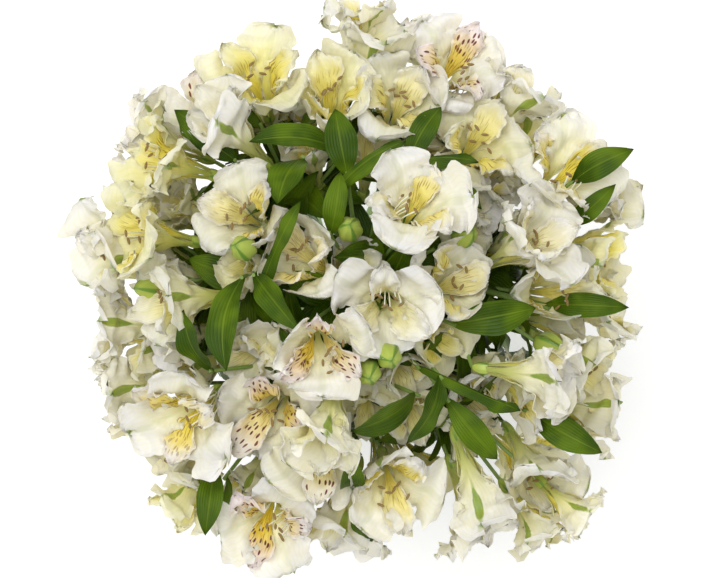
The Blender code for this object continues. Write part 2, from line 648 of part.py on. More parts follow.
def weld_slivers(mesh):
    """Takes out the slivers that a union leaves where blades graze each other, if the skin stays closed."""
    for sliver in SLIVERS:
        shape = bmesh.new()
        shape.from_mesh(mesh)
        bmesh.ops.triangulate(shape, faces=shape.faces)
        bmesh.ops.remove_doubles(shape, verts=shape.verts, dist=sliver)
        bmesh.ops.dissolve_degenerate(shape, edges=shape.edges, dist=sliver / 2)
        bmesh.ops.triangulate(shape, faces=shape.faces)
        keep_outer_skin(shape)
        closed = all(thing.is_manifold for thing in shape.edges[:] + shape.verts[:])
        if closed:
            shape.to_mesh(mesh)
        shape.free()
        if closed:
            return


def keep_outer_skin(shape):
    """Leaves only the largest connected surface: fills a sealed hollow and drops a loose scrap."""
    unseen = set(shape.verts)
    largest = set()
    while unseen:
        group = set()
        front = [unseen.pop()]
        while front:
            point = front.pop()
            group.add(point)
            for edge in point.link_edges:
                other = edge.other_vert(point)
                if other in unseen:
                    unseen.remove(other)
                    front.append(other)
        if len(group) > len(largest):
            largest = group
    bmesh.ops.delete(shape, geom=[point for point in shape.verts if point not in largest], context="VERTS")


def joined(name, first, others, parts):
    """One body made of the first object and the others, by a single Boolean union."""
    pieces = bpy.data.collections.new(name + "_pieces")
    bpy.context.scene.collection.children.link(pieces)
    for other in others:
        pieces.objects.link(other)
    parts.objects.link(first)
    union = first.modifiers.new("union", "BOOLEAN")
    union.operation = "UNION"
    union.operand_type = "COLLECTION"
    union.collection = pieces
    union.solver = "MANIFOLD"
    graph = bpy.context.evaluated_depsgraph_get()
    mesh = bpy.data.meshes.new_from_object(first.evaluated_get(graph))
    first.modifiers.clear()
    mesh.materials.clear()
    weld_slivers(mesh)
    first.data = mesh
    mesh.name = name
    first.name = name
    for other in others:
        bpy.data.objects.remove(other)
    bpy.data.collections.remove(pieces)
    return first


def finish(name, colour, roughness):
    """A plain Principled material."""
    material = bpy.data.materials.new(name)
    material.use_nodes = True
    shader = material.node_tree.nodes["Principled BSDF"]
    shader.inputs["Base Color"].default_value = (*colour, 1.0)
    shader.inputs["Roughness"].default_value = roughness
    shader.inputs["Metallic"].default_value = 0.0
    return material


# Pieces.

OUTER_ROWS = (0.30, 0.66, 0.90)
INNER_ROWS = (0.42, 0.80)
LEAF_ROWS = (0.26, 0.58, 0.84)
LOW_LEAF_ROWS = (0.34, 0.74)
COLLAR_LEAVES = (  # from and to which point of the stem, how far along, turn in degrees, rise, length
    (2, 3, 0.10, -26, 0.22, 0.062),
    (2, 3, 0.75, 24, 0.05, 0.066),
    (3, 4, 0.40, -4, 0.30, 0.052),
)


def make_bloom(bloom, open_share, parts):
    """Six tepals in two whorls, joined by the short cup they grow from."""
    axis = bloom.axis()
    cup = tube("cup", [bloom.root, bloom.root + axis * CUP_LENGTH], [OVARY_RADIUS, CUP_RADIUS], 6)
    tepals = []
    for k in range(6):

        def surface(along, across, k=k):
            return tepal_surface(along, across, bloom, k, open_share)

        def bend(points, share=INNER_SHARE if k % 2 else 1.0):
            return bent_clear(points, bloom, share)

        tepals.append(blade("tepal", INNER_ROWS if k % 2 else OUTER_ROWS, surface, bend))
    return joined(f"bloom_{bloom.piece[1] + 1:02d}", cup, tepals, parts)


def make_leaf(leaf, width, arch, rows):
    def surface(along, across):
        return leaf_surface(along, across, leaf, width, arch)

    def bend(points):
        return bent_clear(points, leaf)

    return blade("leaf", rows, surface, bend)


def make_ray(hub, bloom):
    """A ray from the hub, with the ovary at its top, just under its bloom."""
    axis = bloom.axis()
    top = bloom.root - axis * SEAT_GAP
    neck = top - axis * OVARY_LENGTH
    return tube("ray", [hub, neck, top], [RAY_RADIUS, NECK_RADIUS, OVARY_RADIUS], 4)


def make_bud(bud):
    """A closed bud: a slim ball, blunt at the stalk and pointed at the tip."""
    shape = bmesh.new()
    bmesh.ops.create_uvsphere(shape, u_segments=5, v_segments=3, radius=1.0)
    axis = bud.axis()
    turn = Vector((0, 0, 1)).rotation_difference(axis)
    for point in shape.verts:
        along = 0.5 * (1 + point.co.z)
        wide = 0.5 * BUD_WIDTH * (BUD_ROOT_SHARE + (BUD_TIP_SHARE - BUD_ROOT_SHARE) * along)
        local = Vector((point.co.x * wide, point.co.y * wide, along * BUD_LENGTH))
        local.rotate(turn)
        point.co = bud.root - axis * BUD_SEAT + local
    return mesh_object("bud", shape)


def cut_level(stem):
    """Cuts a stem off at the floor, so that the bunch stands on flat cut ends."""
    shape = bmesh.new()
    shape.from_mesh(stem.data)
    everything = shape.verts[:] + shape.edges[:] + shape.faces[:]
    down = (0, 0, -1)
    bmesh.ops.bisect_plane(shape, geom=everything, plane_co=(0, 0, 0), plane_no=down, clear_outer=True)
    bmesh.ops.holes_fill(shape, edges=[edge for edge in shape.edges if edge.is_boundary])
    bmesh.ops.recalc_face_normals(shape, faces=shape.faces)
    shape.to_mesh(stem.data)
    shape.free()


def make_stem(k, layout, parts):
    """One leafy stem with its umbel's rays, ovaries, buds and leaves, all green and one body."""
    path = layout.paths[k]
    radii = [STEM_RADIUS] * (len(path) - 1) + [HUB_STEM_RADIUS]
    stem = tube("stem", path, radii, 6)
    cut_level(stem)
    piece = ("stem", k)
    own_blooms = [bloom for bloom, own in zip(layout.blooms, layout.stem_of_bloom) if own == k]
    grown = [make_ray(layout.hubs[k], bloom) for bloom in own_blooms]
    for leaf, (_, _, _, _, width) in zip(layout.leaves, LEAVES):
        if leaf.piece == piece:
            grown.append(make_leaf(leaf, width * 0.001, LEAF_ARCH, LEAF_ROWS))
    for leaf in layout.low_leaves:
        if leaf.piece == piece:
            grown.append(make_leaf(leaf, LOW_LEAF_WIDTH, LOW_LEAF_ARCH, LOW_LEAF_ROWS))
    grown += [make_bud(bud) for bud in layout.buds if bud.piece == piece]
    for stalk in layout.stalks:
        if stalk.piece == piece:
            end = stalk.tip + stalk.axis() * STALK_SEAT
            grown.append(tube("stalk", [stalk.root, end], [RAY_RADIUS, RAY_RADIUS], 4))
    return joined(f"stem_{k + 1:02d}", stem, grown, parts)


def make_tie(parts):
    """Turns of twine round the waist, as one ring."""
    pitch = 2 * TWINE_RADIUS
    top = TIE_TURNS * pitch / 2
    profile = []
    for turn in range(TIE_TURNS):
        profile.append((TIE_INNER_RADIUS + 0.6 * pitch, top - turn * pitch))
        profile.append((TIE_INNER_RADIUS + pitch, top - (turn + 0.5) * pitch))
    profile.append((TIE_INNER_RADIUS + 0.6 * pitch, -top))
    profile += [(TIE_INNER_RADIUS, -top), (TIE_INNER_RADIUS, top)]
    shape = bmesh.new()
    corners = [shape.verts.new((radius, 0.0, TIE_HEIGHT + z)) for radius, z in profile]
    for i, corner in enumerate(corners):
        shape.edges.new((corner, corners[(i + 1) % len(corners)]))
    tie = mesh_object("twine_tie", shape)
    screw = tie.modifiers.new("turn", "SCREW")
    screw.angle = 2 * math.pi
    screw.steps = TIE_STEPS
    screw.render_steps = TIE_STEPS
    screw.use_merge_vertices = True
    screw.merge_threshold = 0.00001
    parts.objects.link(tie)
    return tie


def clear_scene():
    for thing in list(bpy.data.objects):
        bpy.data.objects.remove(thing)


def main():
    clear_scene()
    parts = bpy.data.collections.new("alstroemeria_bunch")
    bpy.context.scene.collection.children.link(parts)
    petal_white = finish("petal_white", (0.88, 0.87, 0.74), 0.55)
    stem_green = finish("stem_green", (0.10, 0.22, 0.03), 0.45)
    twine_tan = finish("twine_tan", (0.52, 0.38, 0.20), 0.85)
    layout = Layout()
    for bloom, row in zip(layout.blooms, BLOOMS):
        make_bloom(bloom, row[2], parts).data.materials.append(petal_white)
    for k in range(len(layout.hubs)):
        make_stem(k, layout, parts).data.materials.append(stem_green)
    make_tie(parts).data.materials.append(twine_tan)


main()
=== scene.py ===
# %% [markdown]
# # A bunch of white alstroemeria
# A florist's hand-tied bunch is seen from straight above: forty-nine open and half-open blooms, with smaller
# flowers, buds and leaves between them. Under the head, which the picture doesn't show, ten bare stems cross
# in a spiral at a tie and stand on their cut ends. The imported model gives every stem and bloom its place.
# This file dresses it: thin ruffled petals, stamens, veined leaves, ribbed buds and twisted twine.

import math
import random
from types import SimpleNamespace

import bpy
import numpy as np
from mathutils import Matrix, Vector


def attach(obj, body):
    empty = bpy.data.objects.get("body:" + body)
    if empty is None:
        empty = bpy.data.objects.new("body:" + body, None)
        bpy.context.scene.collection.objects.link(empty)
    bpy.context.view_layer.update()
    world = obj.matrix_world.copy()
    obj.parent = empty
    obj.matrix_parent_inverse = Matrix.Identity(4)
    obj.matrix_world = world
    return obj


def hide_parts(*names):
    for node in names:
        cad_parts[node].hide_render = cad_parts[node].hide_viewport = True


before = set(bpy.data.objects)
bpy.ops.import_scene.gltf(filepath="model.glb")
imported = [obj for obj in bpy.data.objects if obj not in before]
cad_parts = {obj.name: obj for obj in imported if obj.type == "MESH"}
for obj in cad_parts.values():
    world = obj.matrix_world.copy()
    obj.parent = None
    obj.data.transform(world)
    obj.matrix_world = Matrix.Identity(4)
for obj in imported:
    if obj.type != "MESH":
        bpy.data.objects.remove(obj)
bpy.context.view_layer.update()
print("solids in the frame:", len(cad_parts))

# %% [markdown]
# ## The camera comes first
# The picture looks straight down, so the camera does too, from far enough away that the petals at the rim
# lie where they would in a flat plan. A long lens fills the frame. The picture is 721 pixels wide, and its
# scale comes from the flowers: their petals are about 50 millimetres long.

# %% Camera
MILLIMETRE = 0.001
METRES_PER_PIXEL = 0.00055
PICTURE_WIDTH = 721
HEAD_CENTRE = Vector((0.0, 0.0, 0.240))
CAMERA_HEIGHT = 2.8
CAMERA_ASIDE = (0.0058, -0.0005)
FARTHEST_SEEN = 20.0
SHARP_HEIGHT = 0.300  # the height at which a pixel is METRES_PER_PIXEL wide

camera = bpy.data.objects.new("camera", bpy.data.cameras.new("camera"))
bpy.context.scene.collection.objects.link(camera)
camera.location = (*CAMERA_ASIDE, CAMERA_HEIGHT)
camera.data.lens = (
    camera.data.sensor_width * (CAMERA_HEIGHT - SHARP_HEIGHT) / (PICTURE_WIDTH * METRES_PER_PIXEL)
)
camera.data.clip_end = FARTHEST_SEEN
bpy.context.scene.camera = camera
print("lens in millimetres:", round(camera.data.lens))

# %% [markdown]
# ## Where everything shows
# Each row of these tables was read off the picture: a bloom's middle, how far it is open, how far it stands
# out and where it leans, a leaf's middle and the way its tip points, and a bud's place. The last numbers of
# a bloom are its colours: how lemon yellow it is, how much gold its upper petals have and how strong the
# maroon dashes on them are. Reading a plan this way is slower than scattering, but each flower ends up
# where its likeness is.

# %% The tables
PICTURE_CENTRE = (350, 288)

# x, y, openness from 0 to 1, millimetres out, leans to and by in degrees, lemon, gold and dashes from 0 to 1.
BLOOMS = [
    (362, 35, 0.65, 0, 90, 0, 0.5, 0.5, 0.0), (450, 33, 0.55, -4, 60, 0, 0.1, 0.3, 0.3),
    (515, 95, 0.50, 5, 50, 12, 0.3, 0.4, 0.0), (570, 130, 0.75, -8, 0, 0, 0.9, 0.8, 0.0),
    (612, 190, 0.45, 0, 0, 0, 0.4, 0.3, 0.0), (612, 252, 0.80, -2, 0, 0, 0.9, 0.8, 0.0),
    (608, 315, 0.70, 4, 0, 0, 0.5, 0.6, 0.0), (600, 375, 0.75, -4, 0, 0, 0.6, 0.6, 0.0),
    (598, 428, 0.50, 3, 0, 0, 0.3, 0.4, 0.0), (560, 500, 0.65, -4, 0, 0, 0.2, 0.6, 0.0),
    (500, 520, 0.70, 0, 0, 0, 0.1, 0.5, 0.0), (430, 510, 0.80, -10, 0, 0, 0.9, 0.8, 0.0),
    (345, 537, 0.70, 0, 0, 0, 0.1, 0.5, 0.0), (268, 500, 1.00, 10, 70, 40, 0.1, 1.0, 1.0),
    (190, 485, 0.80, -5, 0, 0, 0.6, 0.6, 0.2), (150, 440, 0.80, 3, 0, 0, 0.7, 0.7, 0.2),
    (112, 400, 0.45, -3, 0, 0, 0.2, 0.2, 0.0), (118, 330, 0.70, 4, 0, 0, 0.1, 0.3, 0.0),
    (98, 240, 0.55, 0, 0, 0, 0.2, 0.3, 0.0), (140, 165, 0.85, -6, 0, 0, 0.4, 0.8, 0.3),
    (150, 115, 0.50, 0, 0, 0, 0.1, 0.3, 0.2), (208, 120, 0.95, -6, 310, 35, 0.1, 0.7, 0.9),
    (262, 106, 0.85, 6, 300, 30, 0.8, 0.8, 0.0), (308, 97, 0.85, -8, 280, 25, 0.7, 0.8, 0.0),
    (440, 85, 1.00, 6, 250, 40, 0.0, 0.9, 1.0), (395, 95, 0.75, -10, 260, 28, 0.3, 0.6, 0.0),
    (480, 140, 0.95, -12, 230, 28, 0.5, 0.8, 0.1), (542, 188, 1.00, 10, 200, 30, 0.2, 1.0, 0.2),
    (520, 262, 0.60, 4, 90, 12, 0.1, 0.4, 0.0), (556, 292, 0.95, -4, 180, 28, 0.3, 0.9, 0.0),
    (500, 362, 0.55, 15, 0, 32, 0.2, 0.4, 0.0), (545, 395, 0.75, -12, 0, 0, 0.3, 0.6, 0.0),
    (530, 465, 0.90, 7, 135, 30, 0.3, 1.0, 0.0), (465, 455, 0.22, 12, 290, 30, 0.3, 0.1, 0.0),
    (388, 478, 0.90, -3, 100, 30, 0.2, 1.0, 0.1), (322, 452, 0.80, -10, 80, 20, 0.4, 0.8, 0.5),
    (270, 425, 0.95, -15, 60, 25, 0.2, 0.9, 1.0), (215, 400, 1.00, 10, 40, 15, 0.1, 1.0, 0.3),
    (188, 301, 0.55, -8, 0, 0, 0.5, 0.4, 0.0), (168, 235, 0.95, 4, 200, 8, 1.0, 0.8, 0.0),
    (195, 180, 0.90, 13, 190, 22, 1.0, 0.8, 0.0), (250, 144, 0.45, 10, 150, 12, 0.1, 0.2, 0.0),
    (246, 214, 0.95, -10, 320, 20, 0.2, 0.8, 0.2), (305, 262, 0.95, -15, 0, 0, 0.2, 0.7, 0.2),
    (400, 228, 1.00, 15, 120, 8, 0.1, 0.8, 0.1), (440, 290, 0.95, -12, 0, 0, 0.1, 0.8, 0.0),
    (382, 305, 0.85, 0, 0, 0, 0.0, 0.2, 0.0), (322, 345, 1.00, 13, 0, 0, 0.1, 1.0, 1.0),
    (350, 392, 0.30, 12, 255, 22, 0.5, 0.1, 0.0),
]
# Which way the upper side of a bloom that shows well points, in degrees round from the right.
UPPER_SIDES = {14: 185, 25: 120, 28: 80, 38: 200, 45: 10, 48: 150}

# x, y, tip angle in degrees, length and width in millimetres.
LEAVES = [
    (300, 140, 180, 52, 17), (342, 142, 100, 36, 16), (366, 166, 35, 48, 20), (430, 162, 5, 50, 18),
    (425, 133, 60, 35, 13), (290, 177, 255, 36, 20), (205, 135, 140, 42, 18), (230, 112, 155, 35, 12),
    (275, 250, 60, 58, 13), (230, 320, 265, 52, 20), (195, 345, 100, 40, 14), (272, 300, 315, 44, 15),
    (598, 170, 30, 38, 16), (588, 204, 40, 34, 12), (495, 318, 10, 45, 18), (588, 306, 0, 44, 12),
    (388, 415, 200, 42, 22), (428, 410, 240, 40, 18), (470, 392, 335, 60, 18), (475, 432, 310, 44, 14),
    (565, 432, 330, 42, 16), (350, 480, 90, 36, 12), (235, 515, 275, 38, 13), (460, 192, 320, 28, 14),
    (365, 525, 280, 32, 10), (335, 205, 80, 34, 12),
]
# x, y and how many millimetres the tip stands out of the leaves.
BUDS = [
    (243, 248, 9), (368, 370, 14), (388, 354, 14), (470, 232, 2), (350, 226, 0), (455, 212, 0),
    (135, 288, 0), (566, 350, 0),
]
print(len(BLOOMS), "blooms,", len(LEAVES), "leaves and", len(BUDS), "buds")

# %% [markdown]
# ## The head as a flattened dome
# A round bunch is a dome that is lower than it is wide. A direction from the head's centre and a radius
# give a place on it, and the picture's pixel gives the direction. At the rim the flowers hang over the edge,
# so there the pixel gives the distance and the flowers face sideways.

# %% Places on the dome
FLATNESS = 0.78
LEAF_RADIUS = 0.146
HUB_RADIUS = 0.062
ALONG_VIEW_RADIUS = 0.131
RIM = 0.128
RIM_DOWN = math.radians(66)
RIM_SPAN = math.radians(26)
RIM_SHARE = 0.87
PAST_EDGE = 0.6  # how far down past the dome's edge a thing goes, for each radius that it shows past it
GOLDEN_SHARE = 0.618


def polar(down, around):
    """A unit vector some radians down from the top and round from the right."""
    level = math.sin(down)
    return Vector((level * math.cos(around), level * math.sin(around), math.cos(down)))


def on_dome(direction, radius):
    return HEAD_CENTRE + Vector((direction.x, direction.y, direction.z * FLATNESS)) * radius


def outward(direction):
    """The way the dome faces at a direction from its centre."""
    return Vector((direction.x, direction.y, direction.z / FLATNESS)).normalized()


def unflattened(place):
    away = place - HEAD_CENTRE
    return Vector((away.x, away.y, away.z / FLATNESS)).normalized()


def pixel_place(x, y):
    """How far a pixel lies from the head's middle, and which way round."""
    across = (x - PICTURE_CENTRE[0]) * METRES_PER_PIXEL
    up = (PICTURE_CENTRE[1] - y) * METRES_PER_PIXEL
    return math.hypot(across, up), math.atan2(up, across)


def seen_at(x, y, radius):
    seen, around = pixel_place(x, y)
    beyond = seen / radius
    down = math.asin(min(1.0, beyond)) + PAST_EDGE * max(0.0, beyond - 1.0)
    return polar(down, around)


def bloom_place(i, x, y):
    """A bloom's middle from the head's centre: on the dome, or past it where it shows there."""
    seen, around = pixel_place(x, y)
    if seen < RIM:
        return polar(math.asin(seen / ALONG_VIEW_RADIUS), around) * ALONG_VIEW_RADIUS
    down = RIM_DOWN + RIM_SPAN * (i * GOLDEN_SHARE % 1.0)
    return polar(down, around) * (RIM_SHARE * seen / math.sin(down))


places = [bloom_place(i, x, y) for i, (x, y, *_) in enumerate(BLOOMS)]
print("widest bloom place:", round(max(place.length for place in places), 3))

# %% [markdown]
# ## A line for everything
# Each bloom, leaf, ray and stem is first a straight line from root to tip. Two lines that pass close get a
# flat wall between them, and a blade that would cross the wall is bent back from it. That is how crowded
# petals behave: they press on each other and give way. The solids have the same walls, so the dressed
# petals stay where the solids are.

# %% Lines
LEAST_BLOOM_ROOM = 0.0065
LEAST_LEAF_ROOM = 0.0035
PARALLEL = 1e-14


class Reach:
    """A line from root to tip that something fills, and the walls round it."""

    def __init__(self, root, tip, spread, piece):
        self.root, self.tip, self.spread, self.piece = root, tip, spread, piece
        self.least_room = LEAST_BLOOM_ROOM if piece[0] == "bloom" else min(spread, LEAST_LEAF_ROOM)
        self.normals = []
        self.limits = []

    def axis(self):
        return (self.tip - self.root).normalized()


def nearest_points(first, second):
    """The points of two lines that lie nearest each other."""
    along_a = first.tip - first.root
    along_b = second.tip - second.root
    between = first.root - second.root
    a = along_a.length_squared
    b = along_a.dot(along_b)
    e = along_b.length_squared
    c = along_a.dot(between)
    f = along_b.dot(between)
    spare = a * e - b * b
    s = min(1.0, max(0.0, (b * f - c * e) / spare)) if spare > PARALLEL else 0.0
    t = (b * s + f) / e
    if not 0.0 <= t <= 1.0:
        t = min(1.0, max(0.0, t))
        s = min(1.0, max(0.0, (b * t - c) / a))
    return first.root + along_a * s, second.root + along_b * t


print("least room beside a bloom's and a leaf's line, in m:", LEAST_BLOOM_ROOM, LEAST_LEAF_ROOM)

# %% [markdown]
# A wall stands square to the shortest way between two lines, and nearer the slimmer one. Beside a bloom it
# leans over, as far as both lines stay clear of it, so that a bloom that stands out spreads over the next.

# %% Walls
WALL_GAP = 0.0007
WALL_REACH = 2.6  # lines further apart than this many times their own room need no wall
WALL_LEANS = (1.0, 0.8, 0.6, 0.4, 0.2, 0.0)
MEETING = 1e-6


def leaning_wall(first, second, upright, share):
    """A wall square to the line between two tips, so that a bloom that stands out spreads over the next."""
    between_tips = (second.tip - first.tip).normalized()
    least = first.least_room + second.least_room
    for lean in WALL_LEANS:
        normal = upright.lerp(between_tips, lean).normalized()
        near = max(normal.dot(first.root), normal.dot(first.tip))
        far = min(normal.dot(second.root), normal.dot(second.tip))
        if far - near > least:
            middle = normal.dot(first.tip.lerp(second.tip, share))
            return normal, max(near + first.least_room, min(far - second.least_room, middle))
    return normal, near + (far - near) * first.least_room / least


def wall_between(first, second, both=True):
    """Puts a flat wall between two lines, nearer the slimmer one. With both off, only the first heeds it."""
    here, there = nearest_points(first, second)
    apart = (there - here).length
    if apart > WALL_REACH * (first.spread + second.spread) or apart < MEETING:
        return
    upright = (there - here) / apart
    share = first.spread / (first.spread + second.spread)
    normal, place = upright, upright.dot(here) + share * apart
    if "bloom" in (first.piece[0], second.piece[0]):
        normal, place = leaning_wall(first, second, upright, share)
    first.normals.append(normal)
    first.limits.append(place - WALL_GAP)
    if both:
        second.normals.append(-normal)
        second.limits.append(-place - WALL_GAP)


print("ways that a wall beside a bloom may lean:", len(WALL_LEANS))

# %% [markdown]
# ## Easing the blooms apart
# Places read off a picture are a few millimetres out, and two blooms can't share one. A few dozen small
# pushes move each bloom away from its neighbours and from the leaves that show on top, and the plan stays.

# %% Ease the blooms apart
BLOOMS_APART = 0.037
BLOOM_FROM_LEAF = 0.020
LOWEST_BLOOM = math.radians(100)
SETTLING_STEPS = 60
STEP_SHARE = 0.5
PUSH_BY_BLOOM = 0.5
PUSH_BY_LEAF = 0.7
LEAF_ROOT = (0.85, 0.75)  # how far back and how far in a leaf's root lies, in half lengths
LEAF_TIP = (0.95, 0.25)  # how far on and how far out its tip lies
LEAF_SPOTS = (0.35, 0.85)  # where along a leaf the blooms keep away from it


def settle(directions, fixed):
    """Directions eased apart, away from each other and from some fixed ones."""
    directions = [d.copy() for d in directions]
    apart = BLOOMS_APART / ALONG_VIEW_RADIUS
    from_leaf = BLOOM_FROM_LEAF / LEAF_RADIUS
    for _ in range(SETTLING_STEPS):
        moves = [Vector() for _ in directions]
        for i, one in enumerate(directions):
            others = [(other, apart, PUSH_BY_BLOOM) for j, other in enumerate(directions) if j != i]
            others += [(leaf, from_leaf, PUSH_BY_LEAF) for leaf in fixed]
            for other, wanted, share in others:
                away = one - other
                if 1e-9 < away.length < wanted:
                    moves[i] += away.normalized() * (wanted - away.length) * share
        for one, move in zip(directions, moves):
            one += move * STEP_SHARE
            one.normalize()
            down = math.acos(max(-1.0, min(1.0, one.z)))
            if down > LOWEST_BLOOM:
                one.xyz = polar(LOWEST_BLOOM, math.atan2(one.y, one.x))
    return directions


def leaf_line(x, y, points_to, length):
    """A showing leaf's line: it leans from inside the head out over the dome."""
    direction = seen_at(x, y, LEAF_RADIUS)
    out = outward(direction)
    angle = math.radians(points_to)
    across = Vector((math.cos(angle), math.sin(angle), 0.0))
    across = (across - out * across.dot(out)).normalized()
    middle = on_dome(direction, LEAF_RADIUS)
    half = 0.5 * length * MILLIMETRE
    root = middle - across * half * LEAF_ROOT[0] - out * half * LEAF_ROOT[1]
    tip = middle + across * half * LEAF_TIP[0] + out * half * LEAF_TIP[1]
    return root, tip


leaf_lines = [leaf_line(*leaf[:4]) for leaf in LEAVES]
taken = [unflattened(root.lerp(tip, share)) for root, tip in leaf_lines for share in LEAF_SPOTS]
taken += [seen_at(x, y, LEAF_RADIUS) for x, y, _ in BUDS]
directions = settle([place.normalized() for place in places], taken)
moved = [(place.normalized() - d).length * ALONG_VIEW_RADIUS for place, d in zip(places, directions)]
print("furthest that a bloom was eased, in mm:", round(1000 * max(moved), 1))

# %% [markdown]
# ## Ten stems carry the blooms
# On the real plant a leafy stem ends in an umbel: all its flower stalks, called rays, spring from one point.
# The blooms are grouped by direction around ten such points, which is k-means in a few lines.

# %% Group the blooms into stems
# Degrees down from the top and round from the right, where each group starts.
HUB_STARTS = [(8, 0)] + [(42, 30 + 120 * k) for k in range(3)] + [(82, 60 * k) for k in range(6)]
GROUPING_ROUNDS = 12


def group_into_stems(directions):
    """Each bloom's stem, and each stem's hub direction: the middle of its blooms."""
    hubs = [polar(math.radians(down), math.radians(around)) for down, around in HUB_STARTS]
    for _ in range(GROUPING_ROUNDS):
        stems = [max(range(len(hubs)), key=lambda k: hubs[k].dot(d)) for d in directions]
        for k in range(len(hubs)):
            own = [d for d, stem in zip(directions, stems) if stem == k]
            if own:
                hubs[k] = sum(own, Vector()).normalized()
    return stems, hubs


def nearest_hub(direction):
    return max(range(len(hub_directions)), key=lambda k: hub_directions[k].dot(direction))


stem_of_bloom, hub_directions = group_into_stems(directions)
hubs = [on_dome(d, HUB_RADIUS) for d in hub_directions]
print("blooms on each stem:", [stem_of_bloom.count(k) for k in range(len(hubs))])

# %% [markdown]
# ## Lines for blooms, rays, leaves and buds
# A bloom in the middle of the head looks up, and one at the rim looks sideways. A ray runs from the hub to
# the foot of each bloom, and a stalk to each leaf and bud that shows.

# %% Lines in the head
BLOOM_DEPTH = 0.038
CLOSED_EXTRA = 0.010  # how much longer a closed bloom is
OVARY_LENGTH = 0.008
BUD_LENGTH = 0.022
OUTWARD_POWER = 0.62  # below 1, the blooms lean out further than the dome's slope
BLOOM_SPREAD = 0.0245
LEAF_SPREAD = 0.0100
BUD_SPREAD = 0.0070
RAY_SPREAD = 0.0030
SMALL_LEAN = 17
LEAN_APART = 137.5


def leaned_out(down):
    return math.pi / 2 * (down / (math.pi / 2)) ** OUTWARD_POWER


def bloom_reach(i, direction, radius):
    _, _, openness, stands_out, leans_to, lean = BLOOMS[i][:6]
    if lean == 0:
        leans_to, lean = LEAN_APART * i, SMALL_LEAN
    out = outward(direction)
    down = math.acos(out.z)
    if direction.x**2 + direction.y**2 < (RIM / radius) ** 2:
        down = leaned_out(down)
    out = polar(down, math.atan2(direction.y, direction.x))
    towards = polar(math.pi / 2, math.radians(leans_to))
    towards = (towards - out * towards.dot(out)).normalized()
    axis = out * math.cos(math.radians(lean)) + towards * math.sin(math.radians(lean))
    middle = on_dome(direction, radius) + out * stands_out * MILLIMETRE
    root = middle - axis * BLOOM_DEPTH / 2
    tip = root + axis * (BLOOM_DEPTH + CLOSED_EXTRA * (1 - openness))
    return Reach(root, tip, BLOOM_SPREAD, ("bloom", i))


blooms = [bloom_reach(i, d, places[i].length) for i, d in enumerate(directions)]
rays = [
    Reach(hubs[stem], bloom.root - bloom.axis() * OVARY_LENGTH, RAY_SPREAD, ("stem", stem))
    for stem, bloom in zip(stem_of_bloom, blooms)
]
leaves, stalks, buds = [], [], []
for root, tip in leaf_lines:
    stem = nearest_hub(unflattened(root))
    leaves.append(Reach(root, tip, LEAF_SPREAD, ("stem", stem)))
    stalks.append(Reach(hubs[stem], root, RAY_SPREAD, ("stem", stem)))
for x, y, stands_out in BUDS:
    direction = seen_at(x, y, LEAF_RADIUS)
    out = outward(direction)
    stem = nearest_hub(direction)
    root = on_dome(direction, LEAF_RADIUS) + out * (stands_out * MILLIMETRE - BUD_LENGTH)
    buds.append(Reach(root, root + out * BUD_LENGTH, BUD_SPREAD, ("stem", stem)))
    stalks.append(Reach(hubs[stem], root, RAY_SPREAD, ("stem", stem)))
print("lines in the head:", len(blooms) + len(rays) + len(leaves) + len(stalks) + len(buds))

# %% [markdown]
# ## The spiral of stems
# A florist lays each stem at the same slant, so that all of them cross at the tie and splay below it. Nine
# stems are the spokes of one twist, and the tenth stands upright in the middle.

# %% Stem paths
TIE_HEIGHT = 0.130
WAIST_RADIUS = 0.0088
STEM_LEAN = math.radians(29)
TWIST = math.radians(72)
KNEE_RISE = 0.030
MIDDLE_STEM_OFFSET = 0.0034
UPRIGHT_FOOT = 0.030
UNDER_FLOOR = 0.010
STEM_RADIUS = 0.0025
TRUNK_ROOM = 0.001
SHOULDER_RISE = 0.006
UMBEL_SEAT = 0.003  # how far a stem goes past the point that its rays spring from


def stem_paths():
    """Each stem's middle line, from just under the floor to its hub."""
    step = 2 * math.pi / (len(hubs) - 1)
    bearings = [math.atan2(hub.y, hub.x) for hub in hubs]
    outer = sorted(range(1, len(hubs)), key=lambda k: bearings[k])
    rounds = [bearings[k] - place * step for place, k in enumerate(outer)]
    start = math.atan2(sum(map(math.sin, rounds)), sum(map(math.cos, rounds))) - TWIST
    beside = MIDDLE_STEM_OFFSET * polar(math.pi / 2, start) + Vector((0, 0, TIE_HEIGHT))
    foot = Vector((0, 0, -UNDER_FLOOR))
    paths = [[foot, Vector((0, 0, UPRIGHT_FOOT)), beside, hubs[0]]]
    paths += [None] * len(outer)
    for place, k in enumerate(outer):
        around = start + place * step
        waist = WAIST_RADIUS * polar(math.pi / 2, around) + Vector((0, 0, TIE_HEIGHT))
        lean = math.tan(STEM_LEAN) * polar(math.pi / 2, around + math.pi / 2) + Vector((0, 0, 1))
        knee = waist + lean * KNEE_RISE
        shoulder = knee.lerp(hubs[k], 0.5) + lean.normalized() * SHOULDER_RISE
        end = hubs[k] + outward(unflattened(hubs[k])) * UMBEL_SEAT
        paths[k] = [waist - lean * (TIE_HEIGHT + UNDER_FLOOR), waist, knee, shoulder, end]
    return paths


paths = stem_paths()
trunks = [
    Reach(low, high, STEM_RADIUS + TRUNK_ROOM, ("stem", k))
    for k, path in enumerate(paths)
    for low, high in zip(path[1:], path[2:])
]
print("feet, in mm:", [tuple(round(1000 * x) for x in path[0].xy) for path in paths])

# %% [markdown]
# ## Leaves under the flowers
# Each umbel has a whorl of leaves at its foot, which fill the dark gaps between the blooms, and the outer
# stems keep a few leaves below the head. A whorl leaf turns to where it has most room.

